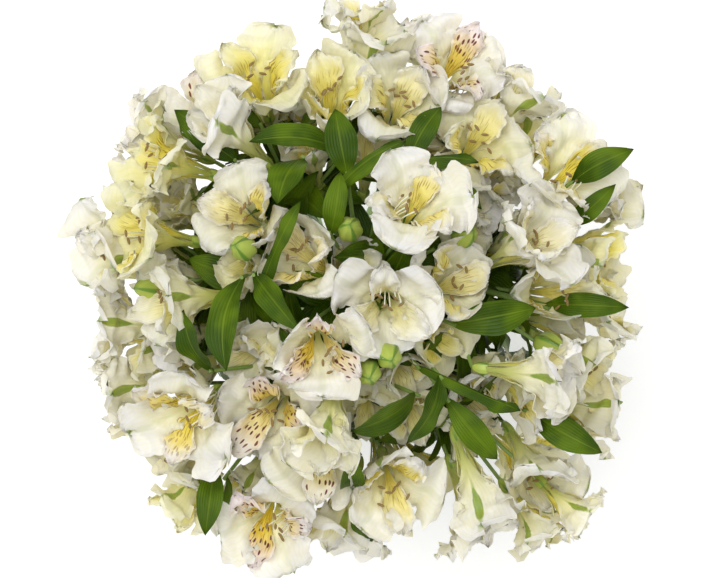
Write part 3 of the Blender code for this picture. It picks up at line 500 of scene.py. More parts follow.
# %% Whorl and collar leaves
INNER_STEMS = 4  # the rest stand round the head's rim, with leaves below it and one fewer in the whorl
WHORL_LEAVES = 3
WHORL_LEAF_LENGTH = 0.056
WHORL_CHOICES = 24  # the ways that a whorl leaf may turn
WHORL_RISE = 0.55  # how steeply it rises from the hub, against how far it goes out
WHORL_OUT = 0.83
# A collar leaf's part of the stem, how far along it, its turn in degrees, its rise and its length.
COLLAR = ((0, 0.10, -26, 0.22, 0.062), (0, 0.75, 24, 0.05, 0.066), (1, 0.40, -4, 0.30, 0.052))


def collar_leaf_reaches():
    """Leaves on the outer stems under the head, out and a little down."""
    reaches = []
    for k in range(INNER_STEMS, len(hubs)):
        level_out = Vector((hubs[k].x, hubs[k].y, 0.0)).normalized()
        for part, along, turn, rise, length in COLLAR:
            low, high = paths[k][2 + part : 4 + part]
            root = low.lerp(high, along)
            turned = Matrix.Rotation(math.radians(turn), 3, "Z") @ level_out
            tip = root + (turned + Vector((0, 0, rise))).normalized() * length
            reaches.append(Reach(root, tip, LEAF_SPREAD, ("stem", k)))
    return reaches


def room_round(leaf, others):
    """The least distance from the outer half of a leaf's line to some other lines."""
    outer_half = Reach(leaf.root.lerp(leaf.tip, 0.5), leaf.tip, LEAF_SPREAD, leaf.piece)
    pairs = [nearest_points(outer_half, other) for other in others]
    return min((here - there).length for here, there in pairs)


def whorl_leaf_reaches():
    """Leaves at each umbel's foot, out and up between the rays."""
    reaches = []
    for k, hub in enumerate(hubs):
        out = outward(unflattened(hub))
        side = out.orthogonal().normalized()
        others = [line for line in blooms + rays + stalks + leaves + buds if line.root != hub]
        choices = []
        for step in range(WHORL_CHOICES):
            around = Matrix.Rotation(math.radians(360 / WHORL_CHOICES * step), 3, out) @ side
            tip = hub + (out * WHORL_RISE + around * WHORL_OUT) * WHORL_LEAF_LENGTH
            choices.append(Reach(hub, tip, LEAF_SPREAD, ("stem", k)))
        for _ in range(WHORL_LEAVES if k < INNER_STEMS else WHORL_LEAVES - 1):
            best = max(choices, key=lambda leaf: room_round(leaf, others + reaches))
            reaches.append(best)
            choices.remove(best)
    return reaches


low_leaves = collar_leaf_reaches() + whorl_leaf_reaches()
print("leaves under the flowers:", len(low_leaves))

# %% [markdown]
# Below the flowers more leaves crowd round each umbel. From above they are the dark green between the
# petals, so they lie flatter than the whorl and nothing has to make room for them.

# %% Crowd the inside with leaves
CROWD_SEED = 77
TURN_VARIES = 0.3
CROWD_LEAVES = 8
CROWD_RISE = (0.05, 0.45)
CROWD_LENGTH = (0.045, 0.060)
CROWD_SEAT = 0.004
RAY_LEAVES = 3
RAY_LEAF_PLACE = (0.25, 0.60)
RAY_LEAF_LENGTH = (0.036, 0.048)
RAY_LEAF_RISE = 0.55
RAY_LEAF_OUT = 0.85


def turned_round(axis, side, n, count, chance):
    """A way that a leaf points: the nth of some even steps round an axis, give or take a little."""
    turn = 2 * math.pi * (n + chance.uniform(-TURN_VARIES, TURN_VARIES)) / count
    return Matrix.Rotation(turn, 3, axis) @ side


def crowd_leaf_reaches():
    chance = random.Random(CROWD_SEED)
    reaches = []
    for k, hub in enumerate(hubs):
        out = outward(unflattened(hub))
        side = out.orthogonal().normalized()
        for n in range(CROWD_LEAVES):
            around = turned_round(out, side, n, CROWD_LEAVES, chance)
            tip = hub + (out * chance.uniform(*CROWD_RISE) + around) * chance.uniform(*CROWD_LENGTH)
            reaches.append(Reach(hub - out * CROWD_SEAT, tip, LEAF_SPREAD, ("stem", k)))
    for ray in rays:
        side = ray.axis().orthogonal().normalized()
        for n in range(RAY_LEAVES):
            around = turned_round(ray.axis(), side, n, RAY_LEAVES, chance)
            root = ray.root.lerp(ray.tip, chance.uniform(*RAY_LEAF_PLACE))
            rise = ray.axis() * RAY_LEAF_RISE + around * RAY_LEAF_OUT
            tip = root + rise * chance.uniform(*RAY_LEAF_LENGTH)
            reaches.append(Reach(root, tip, LEAF_SPREAD, ray.piece))
    return reaches


crowd_leaves = crowd_leaf_reaches()
print("leaves in the crowd:", len(crowd_leaves))

# %% [markdown]
# A few leaves come up between the outer blooms and lie on top of them. Each is set down flat at the height of
# the petals there, and a stalk reaches it from the umbel below.

# %% Leaves on the rim
RIM_LEAF_HEIGHT = 0.309
RIM_LEAF_DROP = 0.016
# x, y, tip angle in degrees, length and width in millimetres.
RIM_LEAVES = [
    (602, 166, 28, 36, 14), (590, 206, 40, 34, 10), (586, 306, 358, 44, 12), (206, 136, 140, 42, 17),
    (232, 113, 155, 35, 11), (566, 432, 330, 42, 16), (210, 500, 262, 36, 13),
]


def rim_leaf_reach(x, y, points_to, length):
    seen, around = pixel_place(x, y)
    middle = Vector((seen * math.cos(around), seen * math.sin(around), RIM_LEAF_HEIGHT))
    angle = math.radians(points_to)
    across = Vector((math.cos(angle), math.sin(angle), 0.0)) * (0.5 * MILLIMETRE) * length
    root = middle - across - Vector((0.0, 0.0, RIM_LEAF_DROP))
    stem = nearest_hub(unflattened(root))
    return Reach(root, middle + across, LEAF_SPREAD, ("stem", stem))


rim_leaves = [rim_leaf_reach(*row[:4]) for row in RIM_LEAVES]
rim_stalks = [Reach(hubs[leaf.piece[1]], leaf.root, RAY_SPREAD, leaf.piece) for leaf in rim_leaves]
print("leaves on the rim:", len(rim_leaves))

# %% [markdown]
# ## Walls in the crowd
# Every pair of neighbours gets its wall, apart from a leaf and the stem that it grows from, and a bloom and
# its own ray, which have to meet.

# %% Put up the walls
TOUCHING = 0.004  # a leaf whose line comes this near its own stem's grows from it


def put_up_walls():
    """Walls between everything that bends and everything near it that isn't its own carrier."""
    bent = blooms + leaves + low_leaves
    still = rays + stalks + buds + trunks
    ray_of_bloom = dict(zip(map(id, blooms), rays))
    for i, one in enumerate(bent):
        for other in bent[i + 1 :]:
            wall_between(one, other)
        for other in still:
            here, there = nearest_points(one, other)
            own_carrier = one.piece == other.piece and (here - there).length < TOUCHING
            if not own_carrier and ray_of_bloom.get(id(one)) is not other:
                wall_between(one, other)


put_up_walls()
print("walls round each bloom:", sum(len(bloom.limits) for bloom in blooms) // len(blooms))

# %% [markdown]
# ## Smaller flowers in the gaps
# A ray of alstroemeria often carries a second, younger flower. They sit deeper in the head, where the large
# ones leave room. A spiral of even steps gives candidate places, and each flower takes the emptiest one left.

# %% Second flowers
SECOND_FLOWERS = 48
SECOND_RADIUS = 0.117
SECOND_SPREAD = 0.0160
SECOND_LENGTH = 0.030
LOWEST_SECOND = math.radians(84)
CANDIDATES = 600
FACE_SHARE = 0.6  # how far up a bloom's line its petals take most room
LEAF_COUNTS = 0.55  # how near a leaf or bud may be, for each metre from a flower
FILL_DOWN = math.radians(78)
FILL_PAST = 1.04  # a flower that fills a gap past that angle lies this much further out
# Pixels at which the floor would show between the blooms.
FILLS = [(568, 328), (144, 352), (574, 516), (184, 502), (248, 486), (536, 526), (405, 376), (360, 12)]


def emptiness(direction, flowers_there):
    """How far a direction is from the nearest flower, where leaves and buds count for less."""
    from_flowers = min((direction - other).length for other in flowers_there)
    from_leaves = min((direction - other).length for other in taken)
    return min(from_flowers, from_leaves / LEAF_COUNTS)


def fill_place(x, y):
    """The direction and radius of a flower that fills a gap at a pixel."""
    seen, around = pixel_place(x, y)
    if seen > SECOND_RADIUS * math.sin(FILL_DOWN):
        return polar(FILL_DOWN, around), FILL_PAST * seen / math.sin(FILL_DOWN)
    return seen_at(x, y, SECOND_RADIUS), SECOND_RADIUS


def second_flower_places():
    """Each smaller flower's direction and radius: first the gaps by name, then wherever is emptiest."""
    downs = [math.acos(1 - (n + 0.5) / CANDIDATES) for n in range(CANDIDATES)]
    candidates = [polar(down, 2 * math.pi * GOLDEN_SHARE * n) for n, down in enumerate(downs)]
    candidates = [place for place in candidates if math.acos(place.z) < LOWEST_SECOND]
    there = [unflattened(bloom.root.lerp(bloom.tip, FACE_SHARE)) for bloom in blooms]
    chosen = [fill_place(x, y) for x, y in FILLS]
    there += [direction for direction, _ in chosen]
    while len(chosen) < SECOND_FLOWERS:
        best = max(candidates, key=lambda place: emptiness(place, there))
        there.append(best)
        chosen.append((best, SECOND_RADIUS))
    return chosen


def second_flower_reach(n, direction, radius):
    tip = on_dome(direction, radius)
    axis = polar(leaned_out(math.acos(outward(direction).z)), math.atan2(direction.y, direction.x))
    flower = Reach(tip - axis * SECOND_LENGTH, tip, SECOND_SPREAD, ("second", len(blooms) + n))
    for other in blooms + leaves + buds:
        wall_between(flower, other, both=False)
    return flower


second_flowers = [second_flower_reach(n, *place) for n, place in enumerate(second_flower_places())]
second_stems = [nearest_hub(unflattened(flower.tip)) for flower in second_flowers]
print("second flowers:", len(second_flowers))

# %% [markdown]
# ## Bending what reaches too far
# A point may come as near the wall as its blade is soft. Petals are thin and slide over each other, so here
# they pass the wall a little, and leaves less. The bend is smooth: a point far inside stays where it is,
# and one outside is drawn towards its line and pushed up along it.

# %% Bend blades back from the walls
PETAL_GIVE = 0.0105
LEAF_GIVE = 0.0020
FREE_SHARE = 0.7  # a blade that fills less of its room than this isn't bent
ROUNDING = 8  # how sharply blades turn where two walls meet
KEPT_BY_RISING = 0.5  # how much of what a bent blade loses it gains along its line
LEAST_ROOM = 1e-5


def shrink_to_walls(points, reach, give):
    """How much nearer its line each point has to be, to stay inside the walls."""
    root = np.array(reach.root)
    line = np.array(reach.tip) - root
    share = np.clip((points - root) @ line / (line @ line), 0.0, 1.0)
    feet = root + share[:, None] * line
    normals = np.array(reach.normals)
    room = np.array(reach.limits)[None, :] + give - feet @ normals.T
    wanted = (points - feet) @ normals.T
    shares = np.clip(wanted / np.maximum(room, LEAST_ROOM), 0.0, None)
    filled = (shares**ROUNDING).sum(axis=1) ** (1 / ROUNDING)
    over = 1 - (1 - FREE_SHARE) * np.exp(-(filled - FREE_SHARE) / (1 - FREE_SHARE))
    return feet, np.where(filled > FREE_SHARE, over / np.maximum(filled, 1e-9), 1.0)


def bent_clear(points, reach, give):
    if not reach.limits:
        return points
    feet, scale = shrink_to_walls(points, reach, give)
    lost = (1 - scale) * np.linalg.norm(points - feet, axis=1)
    points = points + KEPT_BY_RISING * lost[:, None] * np.array(reach.axis())
    feet, scale = shrink_to_walls(points, reach, give)
    return feet + (points - feet) * scale[:, None]


print("petals and leaves pass a wall by up to, in m:", PETAL_GIVE, LEAF_GIVE)

# %% [markdown]
# ## Shader maths as plain expressions
# A material here is a set of small sums, such as how far along the petal a point is and how far from its
# middle. One class wraps a node's output, so that those sums are written as Python expressions and each
# sign adds its node. One method adds any other node: its type, its settings, then its sockets.

# %% Wires
MATHS = {"+": "ADD", "-": "SUBTRACT", "*": "MULTIPLY", "/": "DIVIDE"}


class Wire:
    """One output of a node, which Python's own signs work on."""

    def __init__(self, paint, socket):
        self.paint = paint
        self.socket = socket

    def sum(self, sign, first, second):
        return self.paint.node("ShaderNodeMath", {"operation": MATHS[sign]}, {0: first, 1: second})

    def __add__(self, other):
        return self.sum("+", self, other)

    def __radd__(self, other):
        return self.sum("+", other, self)

    def __sub__(self, other):
        return self.sum("-", self, other)

    def __rsub__(self, other):
        return self.sum("-", other, self)

    def __mul__(self, other):
        return self.sum("*", self, other)

    def __rmul__(self, other):
        return self.sum("*", other, self)

    def __truediv__(self, other):
        return self.sum("/", self, other)

    def __abs__(self):
        return self.paint.node("ShaderNodeMath", {"operation": "ABSOLUTE"}, {0: self})

    def rise(self, low, high):
        """0 below low, 1 above high, and a smooth step between."""
        ends = {"Value": self, "From Min": low, "From Max": high}
        return self.paint.node("ShaderNodeMapRange", {"interpolation_type": "SMOOTHSTEP"}, ends)


print("signs that work on a wire:", *MATHS)

# %% [markdown]
# The other class is the material itself. It adds nodes and feeds sockets, has short names for the nodes that
# every finish uses, and at the end joins the sums to the shader.

# %% Paint
class Paint:
    """A material under construction."""

    def __init__(self, name):
        self.material = bpy.data.materials.new(name)
        self.material.use_nodes = True
        self.tree = self.material.node_tree
        self.shader = self.tree.nodes["Principled BSDF"]

    def node(self, kind, settings, sockets, output=0):
        made = self.tree.nodes.new(kind)
        for name, value in settings.items():
            setattr(made, name, value)
        for key, value in sockets.items():
            self.feed(made.inputs[key], value)
        return Wire(self, made.outputs[output])

    def feed(self, socket, value):
        if isinstance(value, Wire):
            self.tree.links.new(value.socket, socket)
        elif socket.type == "RGBA":
            socket.default_value = (*value, 1.0)
        else:
            socket.default_value = value

    def number(self, name):
        """A number that the mesh keeps at each corner."""
        return self.node("ShaderNodeAttribute", {"attribute_name": name}, {}, "Fac")

    def noise(self, place, scale, detail=2.0):
        return self.node("ShaderNodeTexNoise", {}, {"Vector": place, "Scale": scale, "Detail": detail})

    def place(self):
        """Where a point is, in metres."""
        return self.node("ShaderNodeNewGeometry", {}, {}, "Position")

    def vector(self, x, y, z):
        return self.node("ShaderNodeCombineXYZ", {}, {0: x, 1: y, 2: z})

    def mix(self, share, first, second):
        sockets = {0: share, 6: first, 7: second}
        return self.node("ShaderNodeMix", {"data_type": "RGBA"}, sockets, 2)

    def finish(self, colour, roughness, height=None, depth=0.0002, **constants):
        self.feed(self.shader.inputs["Base Color"], colour)
        self.feed(self.shader.inputs["Roughness"], roughness)
        if height is not None:
            bump = self.node("ShaderNodeBump", {}, {"Height": height, "Distance": depth, "Strength": 1.0})
            self.feed(self.shader.inputs["Normal"], bump)
        for name, value in constants.items():
            self.shader.inputs[name.replace("_", " ")].default_value = value
        print(self.material.name, "has", len(self.tree.nodes), "nodes")
        return self.material


# %% [markdown]
# ## Petals
# Alstroemeria has two kinds of petal, which botanists call tepals because sepals and petals look alike.
# The three outer ones are broad and creamy white, with a green stripe down the back of the tip. Two of the
# three inner ones are narrow and upright, and carry gold with dark dashes that guide the bee. Every mesh
# corner knows how far along and across its tepal it is, so each mark is painted by those two numbers.

# %% Where on a petal a point is
CLOUD_SCALE = 60.0


class PetalPaint(Paint):
    """Paint that knows where on its tepal a point lies, and how its bloom is coloured."""

    def __init__(self):
        super().__init__("petal")
        self.along = self.number("along")
        self.across = self.number("across")
        self.inner = self.number("inner")
        self.outside = self.number("outside")
        self.lemon = self.number("lemon")
        self.gold = self.number("gold")
        self.dashes = self.number("dashes")
        self.seed = self.number("seed")
        self.middle = 1 - abs(self.across)
        self.on_petal = self.vector(self.along * 6 + self.seed, self.across, self.seed)
        self.cloud = self.noise(self.place(), CLOUD_SCALE)

    def spots(self, counts, shifts):
        """How far a point is from the nearest of many scattered spots, so dense along and across."""
        along = self.along * counts[0] + self.seed * shifts[0]
        across = self.across * counts[1] + self.seed * shifts[1]
        flat = {"feature": "F1", "voronoi_dimensions": "2D"}
        sockets = {"Vector": self.vector(along, across, 0.0), "Scale": 1.0, "Randomness": 0.8}
        return self.node("ShaderNodeTexVoronoi", flat, sockets)


# %% [markdown]
# The ground is white with soft clouds of cream. The throat is lemon, partly the bloom's own yellow and partly
# painted warm shade deep in the funnel, which reaches further up in a yellow bloom and on the inner petals,
# and the claw is green from outside. Each of these is one mix over the last.

# %% The ground of a petal
WHITE = (0.85, 0.82, 0.80)
CREAM = (0.80, 0.77, 0.52)
LEMON_AND_WARM_SHADE = (0.83, 0.73, 0.11)
THROAT = (0.58, 0.56, 0.06)
CLAW_GREEN = (0.30, 0.36, 0.06)


def ground_colour(paint):
    along, across, lemon = paint.along, paint.across, paint.lemon
    colour = paint.mix(0.10 + paint.cloud.rise(0.3, 0.7) * 0.35 + lemon * 0.55, WHITE, CREAM)
    # Lemon from the base up: partly the bloom's own yellow throat, partly painted warm shade deep in the
    # funnel, so even a white bloom takes some.
    lemon_and_warm_shade_share = (0.46 + lemon * 0.54) * (0.70 + paint.inner * 0.30) * (1 - along.rise(0.38, 0.98 + lemon * 0.25))
    colour = paint.mix(lemon_and_warm_shade_share * (1 - abs(across).rise(0.55, 1.1) * 0.6), colour, LEMON_AND_WARM_SHADE)
    colour = paint.mix((1 - along.rise(0.08, 0.55)) * 0.75, colour, THROAT)
    return paint.mix(paint.outside * (1 - along.rise(0.02, 0.58)) * 0.8, colour, CLAW_GREEN)


print("colours of the ground:", len((WHITE, CREAM, LEMON_AND_WARM_SHADE, THROAT, CLAW_GREEN)))

# %% [markdown]
# The upper inner petals carry the bee's signposts. A gold patch ends raggedly near the tip, thin olive
# streaks run up it, and in some blooms dark dashes follow with a blush of pink. Streaks and dashes are
# scattered spots that are stretched along the petal.

# %% Gold, streaks and dashes
PALE_GOLD = (0.84, 0.67, 0.06)
GOLD = (0.78, 0.52, 0.02)
BLUSH = (0.86, 0.66, 0.68)
OLIVE_STREAK = (0.25, 0.15, 0.01)
MAROON = (0.10, 0.006, 0.02)
# How dense the spots are along and across a petal, and how far the seed shifts them.
STREAK_SPOTS = ((3.4, 6.5), (3, 5))
DASH_SPOTS = ((7, 3.4), (5, 3))


def with_gold(paint, colour):
    along, inner, seed = paint.along, paint.inner, paint.seed
    ragged = along + paint.noise(paint.vector(along * 2 + seed, paint.across * 6, seed), 1.0) * 0.3
    golden = inner * paint.gold * along.rise(0.10, 0.24) * (1 - ragged.rise(0.84, 1.08))
    golden = golden * paint.middle.rise(0.0, 0.22)
    colour = paint.mix(golden * 0.9, colour, paint.mix(paint.dashes, PALE_GOLD, GOLD))
    blush = paint.dashes * along.rise(0.55, 0.75) * inner * 0.5
    return paint.mix(blush, colour, BLUSH)


def with_marks(paint, colour):
    along, inner = paint.along, paint.inner
    streak = (1 - paint.spots(*STREAK_SPOTS).rise(0.16, 0.28)) * paint.gold.rise(0.0, 0.6) * inner
    streak = streak * along.rise(0.20, 0.34) * (1 - along.rise(0.66, 0.78))
    colour = paint.mix(streak * 0.85, colour, OLIVE_STREAK)
    dash = paint.spots(*DASH_SPOTS)
    marked = paint.dashes.rise(0.1, 0.5) * inner.rise(0.2, 0.6) * paint.middle.rise(0.06, 0.2)
    marked = marked * along.rise(0.40, 0.48) * (1 - along.rise(0.86, 0.92))
    return paint.mix((1 - dash.rise(0.18, 0.25)) * marked, colour, MAROON)


print("spots for the marks:", STREAK_SPOTS, DASH_SPOTS)

# %% [markdown]
# The outer petals are green where they were folded in the bud: a soft pale-hearted lens near the tip, a thin
# rib below it and the very tip itself. All three are strong on the back and faint on the front.

# %% The green stripe and the finished petal
STRIPE_GREEN = (0.17, 0.27, 0.02)
LENS_PALE = (0.40, 0.50, 0.12)
LENS_PLACE = 0.73
LENS_LENGTH = 0.24
LENS_WIDTH = 0.17
PETAL_VEINS = 40


def with_green(paint, colour):
    along, middle, outside = paint.along, paint.middle, paint.outside
    outer = 1 - paint.inner.rise(0.0, 0.2)
    past = (along - LENS_PLACE) / LENS_LENGTH
    aside = paint.across / LENS_WIDTH
    wobble = paint.noise(paint.on_petal, 2.5) * 0.5 - 0.25
    lens = 1 - past * past - aside * aside + wobble
    shown = outer * (0.08 + outside * 0.85)
    colour = paint.mix(lens.rise(0.0, 0.45) * shown, colour, STRIPE_GREEN)
    colour = paint.mix(lens.rise(0.35, 1.0) * shown * 0.5, colour, LENS_PALE)
    rib = outer * along.rise(0.25, 0.60) * middle.rise(0.88, 0.97)
    colour = paint.mix(rib * (0.06 + outside * 0.50), colour, STRIPE_GREEN)
    tip = along.rise(0.965, 0.995) * middle.rise(0.3, 0.8) * (0.35 + outer * 0.6)
    return paint.mix(tip, colour, STRIPE_GREEN)


def petal_material():
    paint = PetalPaint()
    colour = with_green(paint, with_marks(paint, with_gold(paint, ground_colour(paint))))
    wander = paint.across * PETAL_VEINS + paint.noise(paint.on_petal, 1.5) * 10
    lines = paint.node("ShaderNodeMath", {"operation": "SINE"}, {0: wander})
    colour = paint.mix(lines.rise(0.3, 1.0) * 0.10, colour, THROAT)
    return paint.finish(
        colour, 0.50, lines * 0.3 + paint.cloud, 0.00010, Sheen_Weight=0.08,
        Subsurface_Weight=0.35, Subsurface_Scale=0.004, Subsurface_Radius=(1.0, 0.85, 0.45),
    )


petal = petal_material()

# %% [markdown]
# ## Leaves, stems and buds
# A leaf is dark and a little glossy above, with fine parallel veins, and paler below. Stems and buds are
# waxy and lighter. Each has two or three greens and a fine relief, which a bump gives more cheaply than a
# mesh would.

# %% Leaf, stem and bud materials
LEAF_DARK = (0.032, 0.072, 0.002)
LEAF_MID = (0.100, 0.172, 0.004)
LEAF_PALE = (0.19, 0.27, 0.02)
LEAF_VEINS = 34
STEM_SHADE = (0.10, 0.20, 0.03)
STEM_LIGHT = (0.22, 0.34, 0.08)
RAY_GREEN = (0.27, 0.38, 0.08)
BUD_GREEN = (0.42, 0.52, 0.09)
BUD_LINE = (0.13, 0.27, 0.03)
WAXY = 0.42
RIBS = 6


def leaf_material():
    """Dark and a little glossy above with fine parallel veins, paler below, and darkest at the tip."""
    paint = Paint("leaf")
    along = paint.number("along")
    across = paint.number("across")
    outside = paint.number("outside")
    cloud = paint.noise(paint.place(), 45.0)
    lines = paint.node("ShaderNodeMath", {"operation": "SINE"}, {0: across * LEAF_VEINS})
    colour = paint.mix(cloud.rise(0.35, 0.7), LEAF_DARK, LEAF_MID)
    colour = paint.mix(lines.rise(0.3, 1.0) * 0.10, colour, LEAF_PALE)
    colour = paint.mix((1 - abs(across).rise(0.02, 0.10)) * 0.35, colour, LEAF_PALE)
    colour = paint.mix(outside * 0.45, colour, LEAF_PALE)
    colour = paint.mix(along.rise(0.94, 1.0) * 0.7, colour, LEAF_DARK)
    height = lines * 0.5 + cloud
    return paint.finish(colour, 0.38 + cloud * 0.12, height, Specular_IOR_Level=0.14)


def stem_material():
    """Waxy green with pale streaks along it. The tint makes a ray lighter than a stem."""
    paint = Paint("stem")
    around = paint.number("across")
    tint = paint.number("tint")
    streaks = paint.noise(paint.vector(around * 5, 0.0, paint.number("along") * 1.5), 4.0)
    colour = paint.mix(streaks, STEM_SHADE, STEM_LIGHT)
    colour = paint.mix(tint, colour, RAY_GREEN)
    return paint.finish(colour, WAXY, streaks)


def bud_material():
    """Yellow-green, with a dark line down the middle of each folded tepal."""
    paint = Paint("bud")
    around = paint.number("across")
    along = paint.number("along")
    ribs = paint.node("ShaderNodeMath", {"operation": "COSINE"}, {0: around * RIBS * math.pi})
    colour = paint.mix(ribs.rise(0.55, 1.0) * along.rise(0.05, 0.4), BUD_GREEN, BUD_LINE)
    colour = paint.mix(along.rise(0.9, 1.0) * 0.7, colour, BUD_LINE)
    return paint.finish(colour, WAXY, ribs)


leaf_green = leaf_material()
stem_green = stem_material()
bud_green = bud_material()

# %% [markdown]
# Stamens are pale threads with dry olive anthers, and the tie is jute. Anthers and twine get their colour
# and their grain from the same noise, so that the hollows are also the dark places: partly their own darker
# tone and partly painted shade in the hollows.

# %% Stamen and twine materials
FILAMENT_FOOT = (0.72, 0.70, 0.40)
FILAMENT_TIP = (0.90, 0.88, 0.80)
ANTHER_DARK = (0.16, 0.09, 0.025)
ANTHER_LIGHT = (0.36, 0.25, 0.09)
POLLEN_SCALE = 2500.0
TWINE_DARK = (0.26, 0.16, 0.07)
TWINE_LIGHT = (0.58, 0.42, 0.22)


def filament_material():
    paint = Paint("filament")
    colour = paint.mix(paint.number("along"), FILAMENT_FOOT, FILAMENT_TIP)
    return paint.finish(colour, 0.45, Subsurface_Weight=0.2, Subsurface_Scale=0.002)


def anther_material():
    paint = Paint("anther")
    pollen_grain_and_hollow_shade = paint.noise(paint.place(), POLLEN_SCALE)
    # Dark in the bump's hollows: partly the pollen's own tone, partly painted shade there.
    colour = paint.mix(pollen_grain_and_hollow_shade, ANTHER_DARK, ANTHER_LIGHT)
    return paint.finish(colour, 0.8, pollen_grain_and_hollow_shade)


def twine_material():
    """Jute: fine strands of fibre along the ply, tan, and darker in the hollows, partly its own tone and
    partly painted shade.
    """
    paint = Paint("twine")
    fibre_and_hollow_shade = paint.noise(paint.vector(paint.number("along") * 3, paint.number("across") * 14, 0.0), 6.0, 4.0)
    # Darker in the bump's hollows: partly the jute's own tone, partly painted shade.
    colour = paint.mix(fibre_and_hollow_shade.rise(0.3, 0.7), TWINE_DARK, TWINE_LIGHT)
    return paint.finish(colour, 0.9, fibre_and_hollow_shade, 0.0004)


filament = filament_material()
anther = anther_material()
twine = twine_material()

# %% [markdown]
# ## Closed skins
# Every blade is a closed shell with a front, a back and a rim, so that it has a real thickness in any view.
# A collector keeps the corners and faces of one piece, which material each shell takes, and the numbers that
# the materials read.

# %% The skin collector
SHARP_EDGE = math.radians(55)
NUMBERS = ("along", "across", "inner", "outside", "lemon", "gold", "dashes", "seed", "tint")


class Skin:
    """The shells of one piece, in the making."""

    def __init__(self, materials):
        self.materials = materials
        self.points, self.faces, self.slots = [], [], []
        self.numbers = {name: [] for name in NUMBERS}
        self.count = 0

    def shell(self, points, faces, material, **numbers):
        self.points.append(points)
        self.faces += [tuple(corner + self.count for corner in face) for face in faces]
        self.slots += [self.materials.index(material)] * len(faces)
        for name in NUMBERS:
            self.numbers[name].append(np.broadcast_to(numbers.get(name, 0.0), len(points)))
        self.count += len(points)

    def piece(self, name):
        mesh = bpy.data.meshes.new(name)
        mesh.from_pydata(np.concatenate(self.points), [], self.faces)
        for material in self.materials:
            mesh.materials.append(material)
        mesh.polygons.foreach_set("material_index", self.slots)
        mesh.polygons.foreach_set("use_smooth", [True] * len(mesh.polygons))
        for number, values in self.numbers.items():
            kept = mesh.attributes.new(number, "FLOAT", "POINT")
            kept.data.foreach_set("value", np.concatenate(values).astype(np.float32))
        mesh.set_sharp_from_angle(angle=SHARP_EDGE)
        made = bpy.data.objects.new(name, mesh)
        bpy.context.scene.collection.objects.link(made)
        return made


print("numbers that each corner keeps:", len(NUMBERS))

# %% [markdown]
# Petals and leaves are sheets. A grid of points is their middle surface, and a front and a back lie half a
# thickness away on either side of it, along the surface's own normals.

# %% Sheets
def grid_faces(rows, columns, back):
    """Faces of a closed sheet: a front grid, a back grid after it, and the rim that joins them."""
    faces = []
    for r in range(rows - 1):
        for c in range(columns - 1):
            a, b = r * columns + c, r * columns + c + 1
            d, e = a + columns, b + columns
            faces += [(a, b, e, d), (a + back, d + back, e + back, b + back)]
    left = [r * columns for r in range(rows)]
    right = [r * columns + columns - 1 for r in range(rows)]
    first = list(range(columns))
    last = [(rows - 1) * columns + c for c in range(columns)]
    for line, turned in ((left, False), (right, True), (first, True), (last, False)):
        for a, b in zip(line, line[1:]):
            quad = (a, b, b + back, a + back)
            faces.append(quad[::-1] if turned else quad)
    return faces


def over_grid(rows, columns):
    """How far along and across each point of a grid is, row by row."""
    return (part.ravel() for part in np.meshgrid(rows, np.linspace(-1, 1, columns), indexing="ij"))


def sheet_shell(points, rows, columns, thickness):
    """Points and faces of a sheet with some thickness, from its middle surface."""
    grid = points.reshape(rows, columns, 3)
    up = np.gradient(grid, axis=0)
    side = np.gradient(grid, axis=1)
    normal = np.cross(side, up)
    normal /= np.maximum(np.linalg.norm(normal, axis=2, keepdims=True), 1e-12)
    half = 0.5 * thickness.reshape(rows, columns, 1) * normal
    both = np.concatenate([(grid + half).reshape(-1, 3), (grid - half).reshape(-1, 3)])
    return both, grid_faces(rows, columns, rows * columns)


print("faces of a sheet of 3 by 3 points:", len(grid_faces(3, 3, 9)))

# %% [markdown]
# Stems, buds, threads and twine are tubes with closed ends. A direction square to the path is carried along
# it from point to point, so the tube doesn't twist unless it is asked to.

# %% Tubes
def tube_shell(points, radii, sides, lobes=0, lobe_depth=0.0, turns=0.0):
    """Points, faces, and how far along and round each point is, for a closed tube with optional ribs."""
    points = [Vector(point) for point in points]
    normal = (points[1] - points[0]).orthogonal().normalized()
    corners, alongs, arounds = [], [], []
    for i, (point, radius) in enumerate(zip(points, radii)):
        forward = (points[min(i + 1, len(points) - 1)] - points[max(i - 1, 0)]).normalized()
        normal = (normal - forward * normal.dot(forward)).normalized()
        other = forward.cross(normal)
        for s in range(sides):
            angle = 2 * math.pi * (s / sides + turns * i / len(points))
            ribbed = radius * (1 + lobe_depth * math.cos(lobes * 2 * math.pi * s / sides))
            corners.append(point + (normal * math.cos(angle) + other * math.sin(angle)) * ribbed)
            alongs.append(i / (len(points) - 1))
            arounds.append(s / sides)
    faces = [
        (i * sides + s, i * sides + (s + 1) % sides, (i + 1) * sides + (s + 1) % sides, (i + 1) * sides + s)
        for i in range(len(points) - 1)
        for s in range(sides)
    ]
    faces.append(tuple(reversed(range(sides))))
    faces.append(tuple(range((len(points) - 1) * sides, len(points) * sides)))
    return np.array(corners), faces, np.array(alongs), np.array(arounds)


print("faces of a tube of 2 rings of 8:", len(tube_shell([(0, 0, 0), (0, 0, 1)], [1, 1], 8)[1]))

# %% [markdown]
# ## The shape of a tepal
# A tepal grows out of the cup along the bloom's axis and then leans out by the opening angle. Its outline is
# a power curve: narrow at the claw, widest past the middle, blunt at the tip. Ruffles are small waves that
# grow towards the edge, and the tip curls back. Each tepal gets its own small differences.

# %% A tepal's middle line and outline
TEPAL_LENGTH = 0.053
CUP_RADIUS = 0.0028
STRAIGHT = math.radians(7)
CURL_FROM = 0.62  # how far along a tepal its tip begins to curl
MIDLINE_STEPS = 41
# Outer tepals are broad. Inner ones are narrow, a little longer and more upright, and hold closer to the cup.
OUTER = SimpleNamespace(width=0.038, length=1.0, bluntness=0.58, upright=0, unwrap=2.2, ruffle=0.0060)
INNER = SimpleNamespace(width=0.0225, length=1.04, bluntness=0.85, upright=12, unwrap=1.2, ruffle=0.0040)


def ramp(values, low, span):
    """0 up to a low end, then evenly up to 1 over a span."""
    return np.clip((values - low) / span, 0, 1)


